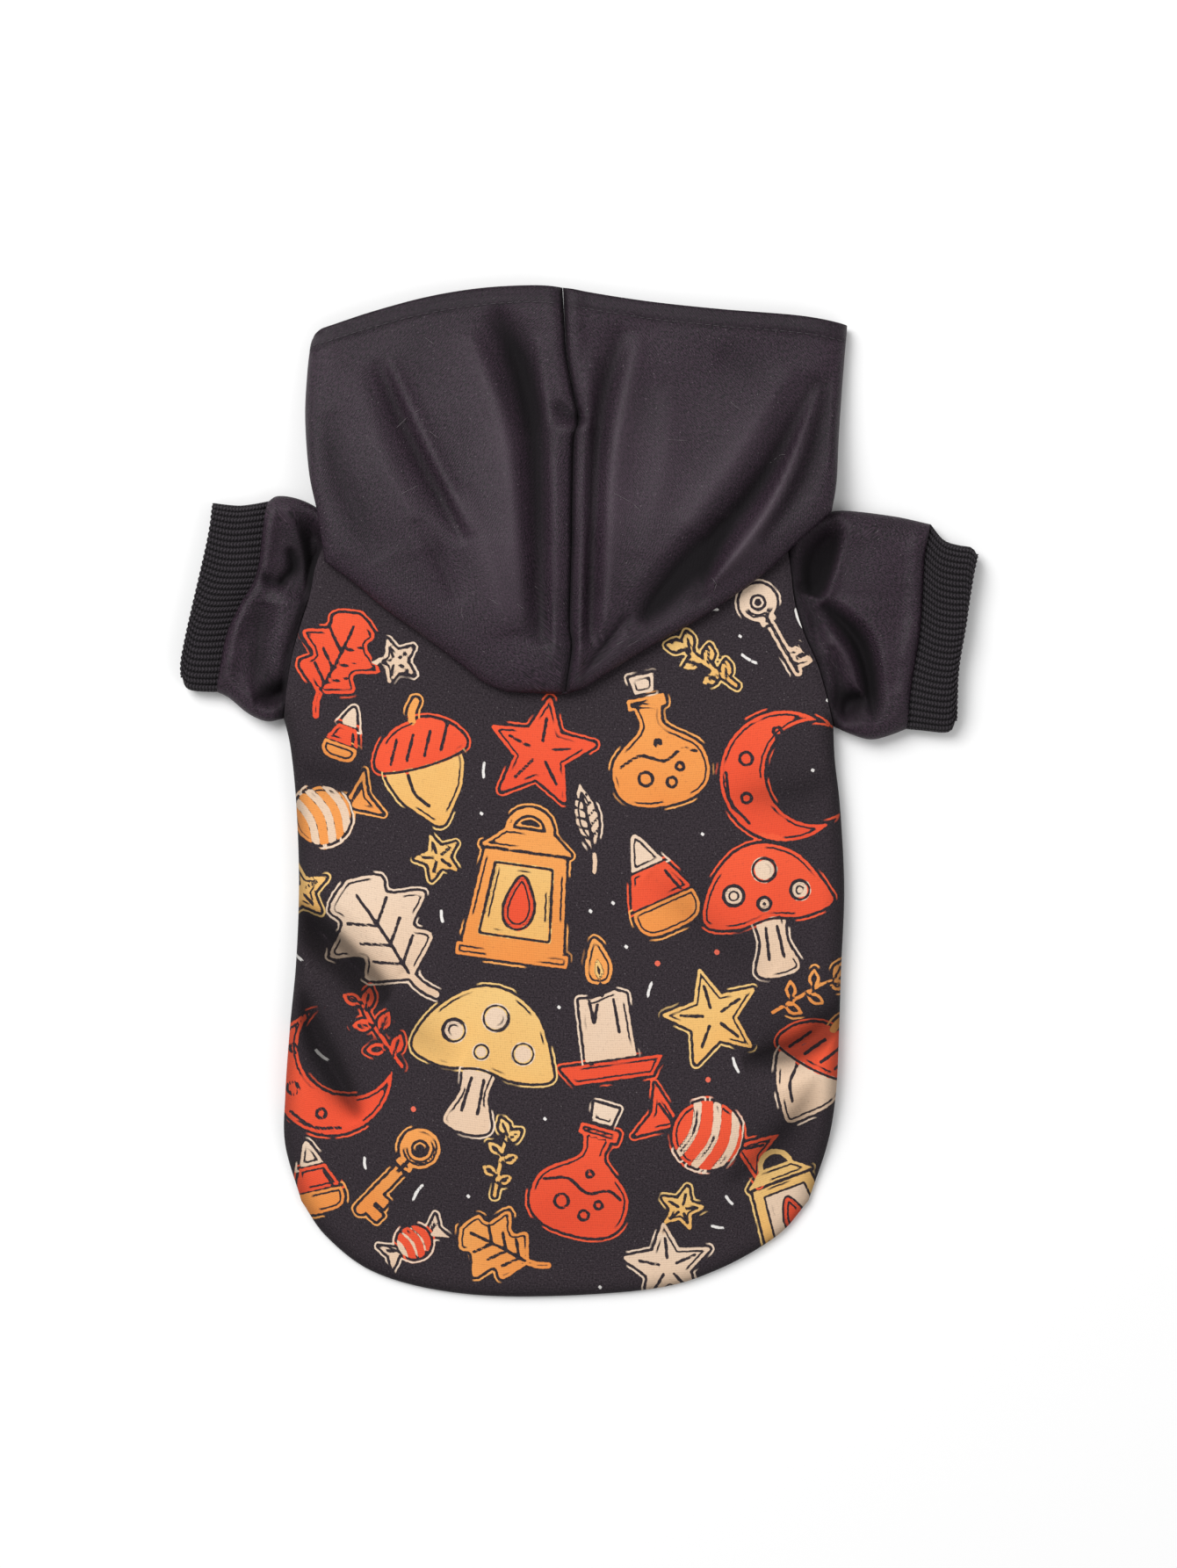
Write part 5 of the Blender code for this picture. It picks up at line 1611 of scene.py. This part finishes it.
class HoodieSizes(bpy.types.PropertyGroup):
    """Sizes of the finish that a user may change."""

    band: length_property("Hem band", "Depth of the hood's face hem", 0.0072)
    stitch: length_property("Stitch", "Length of a stitch", 0.0026)
    stitch_gap: length_property("Stitch gap", "Gap between stitches", 0.0007)
    thread: length_property("Thread", "Thickness of the thread", 0.00042)
    lint: length_property("Lint", "Half the thickness of a loose fibre", 0.00006)
    rib_pitch: length_property("Rib pitch", "Distance between cuff ribs", 0.0023)
    rib_depth: length_property("Rib depth", "Depth of the grooves between ribs", 0.0012)
    rib_stitch: length_property("Rib stitch", "Length of a knit stitch on a rib", 0.0013)
    knit_pitch: length_property("Knit pitch", "Width of a wale of the jersey", 0.0011)
    twill_pitch: length_property("Twill pitch", "Distance between twill lines", 0.0011)
    print_softness: length_property("Print softness", "Width of a printed edge", 0.00022)
    line_width: length_property("Line width", "Width of the print's thin lines", 0.0007)
    line_offset: length_property("Line offset", "Distance of thin lines from an edge", 0.0015)
    motif_scale: bpy.props.FloatProperty(
        name="Motif scale", description="Size of the motifs, 1 as designed", default=1.0,
        min=0.5, max=1.5,
    )
    print_seed: bpy.props.IntProperty(
        name="Mark seed", description="Changes where dots and dashes fall", default=7
    )


class HoodieColours(bpy.types.PropertyGroup):
    """Colours of the cloths, the print and the floor."""

    ground: colour_property("Ground", "Charcoal of the jersey", (0.047, 0.036, 0.043))
    ground_deep: colour_property("Deep ground", "Darker flecks of the jersey", (0.014, 0.010, 0.013))
    orange: colour_property("Orange", "Orange of the print", (0.83, 0.105, 0.042))
    orange_deep: colour_property("Deep orange", "Redder orange", (0.74, 0.070, 0.030))
    amber: colour_property("Amber", "Amber of the print", (0.82, 0.36, 0.10))
    amber_deep: colour_property("Deep amber", "Deeper amber", (0.78, 0.25, 0.055))
    yellow: colour_property("Yellow", "Yellow cream of the print", (0.80, 0.53, 0.20))
    yellow_deep: colour_property("Deep yellow", "Deeper yellow", (0.78, 0.40, 0.11))
    cream: colour_property("Cream", "Pale cream of the print", (0.77, 0.60, 0.46))
    cream_deep: colour_property("Deep cream", "Deeper cream", (0.72, 0.50, 0.34))
    spark: colour_property("Spark", "Red of the small dots", (0.76, 0.14, 0.085))
    white: colour_property("White", "White of the small marks", (0.80, 0.77, 0.74))
    cloth: colour_property("Cloth", "Charcoal of the twill", (0.040, 0.022, 0.036))
    # Painted highlight: the lighter twill painted on the crests of folds
    cloth_painted_highlight: colour_property("Crest", "Twill on the crest of a fold", (0.088, 0.064, 0.082))
    cloth_deep: colour_property("Deep cloth", "Darker tone of the twill", (0.006, 0.004, 0.006))
    rib: colour_property("Rib", "Black of the rib knit", (0.062, 0.053, 0.062))
    rib_deep: colour_property("Deep rib", "Darker tone of the rib knit", (0.012, 0.010, 0.012))
    thread: colour_property("Thread", "Colour of the thread", (0.075, 0.060, 0.072))
    lint: colour_property("Lint", "Colour of loose fibres", (0.30, 0.27, 0.28))
    # Painted shade: the near black painted into folds, seams, rib grooves and along the back's edges
    shade: colour_property("Shade", "Tone of cloth deep in a fold", (0.004, 0.003, 0.004))
    floor: colour_property("Floor", "Colour of the floor", (0.90, 0.90, 0.90))
    floor_grain: colour_property("Floor grain", "Slight unevenness of the floor", (0.80, 0.80, 0.80))


def settings_of(context):
    return context.scene.hoodie_sizes, context.scene.hoodie_colours


def twill_of(context):
    """The twill, made once and shared by all the pieces that are cut from it."""
    sizes, colours = settings_of(context)
    return bpy.data.materials.get("black_twill_cloth") or twill_material(colours, sizes)


class HOODIE_OT_back(bpy.types.Operator):
    """Lays out the printed back with its turned hem"""

    bl_idname = "hoodie.back"
    bl_label = "Back"

    def execute(self, context):
        sizes, colours = settings_of(context)
        back_cloth(sizes, *(jersey_material(colours, sizes, face) for face in (True, False)))
        return {"FINISHED"}


class HOODIE_OT_belly(bpy.types.Operator):
    """Lays out the plain belly panel"""

    bl_idname = "hoodie.belly"
    bl_label = "Belly"

    def execute(self, context):
        belly_cloth(twill_of(context))
        return {"FINISHED"}


class HOODIE_OT_hood(bpy.types.Operator):
    """Spreads the two halves of the hood and stitches its face hem"""

    bl_idname = "hoodie.hood"
    bl_label = "Hood"

    def execute(self, context):
        sizes, colours = settings_of(context)
        thread = plain_material(
            "thread", 3000.0, 1.0, 1.0, colours.cloth_deep, colours.thread, 0.55, 0.5
        )
        fibre = plain_material("lint", 400.0, 1.0, 1.0, colours.cloth, colours.lint, 0.7, 0.2)
        for name, side in SIDES.items():
            hood = hood_cloth("hood_" + name, side, sizes, twill_of(context))
            stitches = bmesh.new()
            stitch_row(stitches, at_depth(hood.upper[:, 2:], sizes.band, 0.00012), sizes)
            new_piece("hem_stitches_" + name, stitches, thread)
            fibres = bmesh.new()
            random = np.random.default_rng(LINT_SEED + side)
            scatter_lint(fibres, hood.upper, random, LINT_COUNT, sizes)
            new_piece("lint_" + name, fibres, fibre)
        return {"FINISHED"}


class HOODIE_OT_sleeves(bpy.types.Operator):
    """Lays out the two sleeves"""

    bl_idname = "hoodie.sleeves"
    bl_label = "Sleeves"

    def execute(self, context):
        body = Body(BACK_STEPS)
        for name, side in SIDES.items():
            sleeve_cloth("sleeve_" + name, Sleeve(side, body), twill_of(context))
        return {"FINISHED"}


class HOODIE_OT_cuffs(bpy.types.Operator):
    """Knits the two ribbed cuffs"""

    bl_idname = "hoodie.cuffs"
    bl_label = "Cuffs"

    def execute(self, context):
        sizes, colours = settings_of(context)
        rib = rib_material(colours, sizes)
        body = Body(BACK_STEPS)
        for name, side in SIDES.items():
            cuff_cloth("cuff_" + name, Sleeve(side, body), sizes, rib)
        return {"FINISHED"}


def area_light(name, energy, size, place):
    """A soft square light that aims at the middle of the floor."""
    light = bpy.data.lights.new(name, "AREA")
    light.energy = energy
    light.size = size
    lamp = bpy.data.objects.new(name, light)
    bpy.context.scene.collection.objects.link(lamp)
    lamp.location = place
    lamp.rotation_mode = "QUATERNION"
    lamp.rotation_quaternion = (-Vector(place)).to_track_quat("-Z", "Y")


FLOOR_REACH = 3.0
ROOM_LIGHT = 0.46
KEY_LIGHT = (78.0, 1.8, (-1.25, 1.35, 2.3))
FILL_LIGHT = (10.0, 1.4, (1.6, -0.8, 1.9))
CAMERA_PLACE = (0.0035, 0.0033, 1.48)


class HOODIE_OT_stage(bpy.types.Operator):
    """Puts down a pale floor, soft lights and a camera straight above"""

    bl_idname = "hoodie.stage"
    bl_label = "Stage"

    def execute(self, context):
        scene = context.scene
        _, colours = settings_of(context)
        sheet = bmesh.new()
        bmesh.ops.create_grid(sheet, x_segments=2, y_segments=2, size=FLOOR_REACH)
        mesh = bpy.data.meshes.new("studio_floor")
        sheet.to_mesh(mesh)
        sheet.free()
        paint = plain_material(
            "floor_paint", 3.0, 2.0, 0.04, colours.floor, colours.floor_grain, 0.8, 0.1
        )
        mesh.materials.append(paint)
        floor = bpy.data.objects.new("studio_floor", mesh)
        scene.collection.objects.link(floor)
        world = bpy.data.worlds.new("Studio")
        world.use_nodes = True
        background = world.node_tree.nodes["Background"]
        background.inputs["Color"].default_value = (1.0, 1.0, 1.0, 1.0)
        background.inputs["Strength"].default_value = ROOM_LIGHT
        scene.world = world
        area_light("key_light", *KEY_LIGHT)
        area_light("fill_light", *FILL_LIGHT)
        camera = bpy.data.objects.new("camera", bpy.data.cameras.new("camera"))
        scene.collection.objects.link(camera)
        camera.location = CAMERA_PLACE
        camera.data.lens = 85.0
        camera.data.sensor_width = 36.0
        camera.data.clip_start = 0.05
        scene.camera = camera
        scene.view_settings.view_transform = "Standard"
        return {"FINISHED"}


class HOODIE_PT_panel(bpy.types.Panel):
    """Lists the pieces and the settings in the sidebar"""

    bl_idname = "HOODIE_PT_panel"
    bl_label = "Dog hoodie"
    bl_space_type = "VIEW_3D"
    bl_region_type = "UI"
    bl_category = "Hoodie"

    def draw(self, context):
        for operator in OPERATORS:
            self.layout.operator(operator.bl_idname)
        for group in settings_of(context):
            for name in group.bl_rna.properties.keys():
                if name not in ("rna_type", "name"):
                    self.layout.prop(group, name)


OPERATORS = (
    HOODIE_OT_back,
    HOODIE_OT_belly,
    HOODIE_OT_hood,
    HOODIE_OT_sleeves,
    HOODIE_OT_cuffs,
    HOODIE_OT_stage,
)
CLASSES = (HoodieSizes, HoodieColours, *OPERATORS, HOODIE_PT_panel)


def register():
    for item in CLASSES:
        bpy.utils.register_class(item)
    bpy.types.Scene.hoodie_sizes = bpy.props.PointerProperty(type=HoodieSizes)
    bpy.types.Scene.hoodie_colours = bpy.props.PointerProperty(type=HoodieColours)


def unregister():
    del bpy.types.Scene.hoodie_colours
    del bpy.types.Scene.hoodie_sizes
    for item in reversed(CLASSES):
        bpy.utils.unregister_class(item)


def main():
    register()
    bpy.ops.hoodie.back()
    bpy.ops.hoodie.belly()
    bpy.ops.hoodie.hood()
    bpy.ops.hoodie.sleeves()
    bpy.ops.hoodie.cuffs()
    bpy.ops.hoodie.stage()


if __name__ == "__main__":
    main()
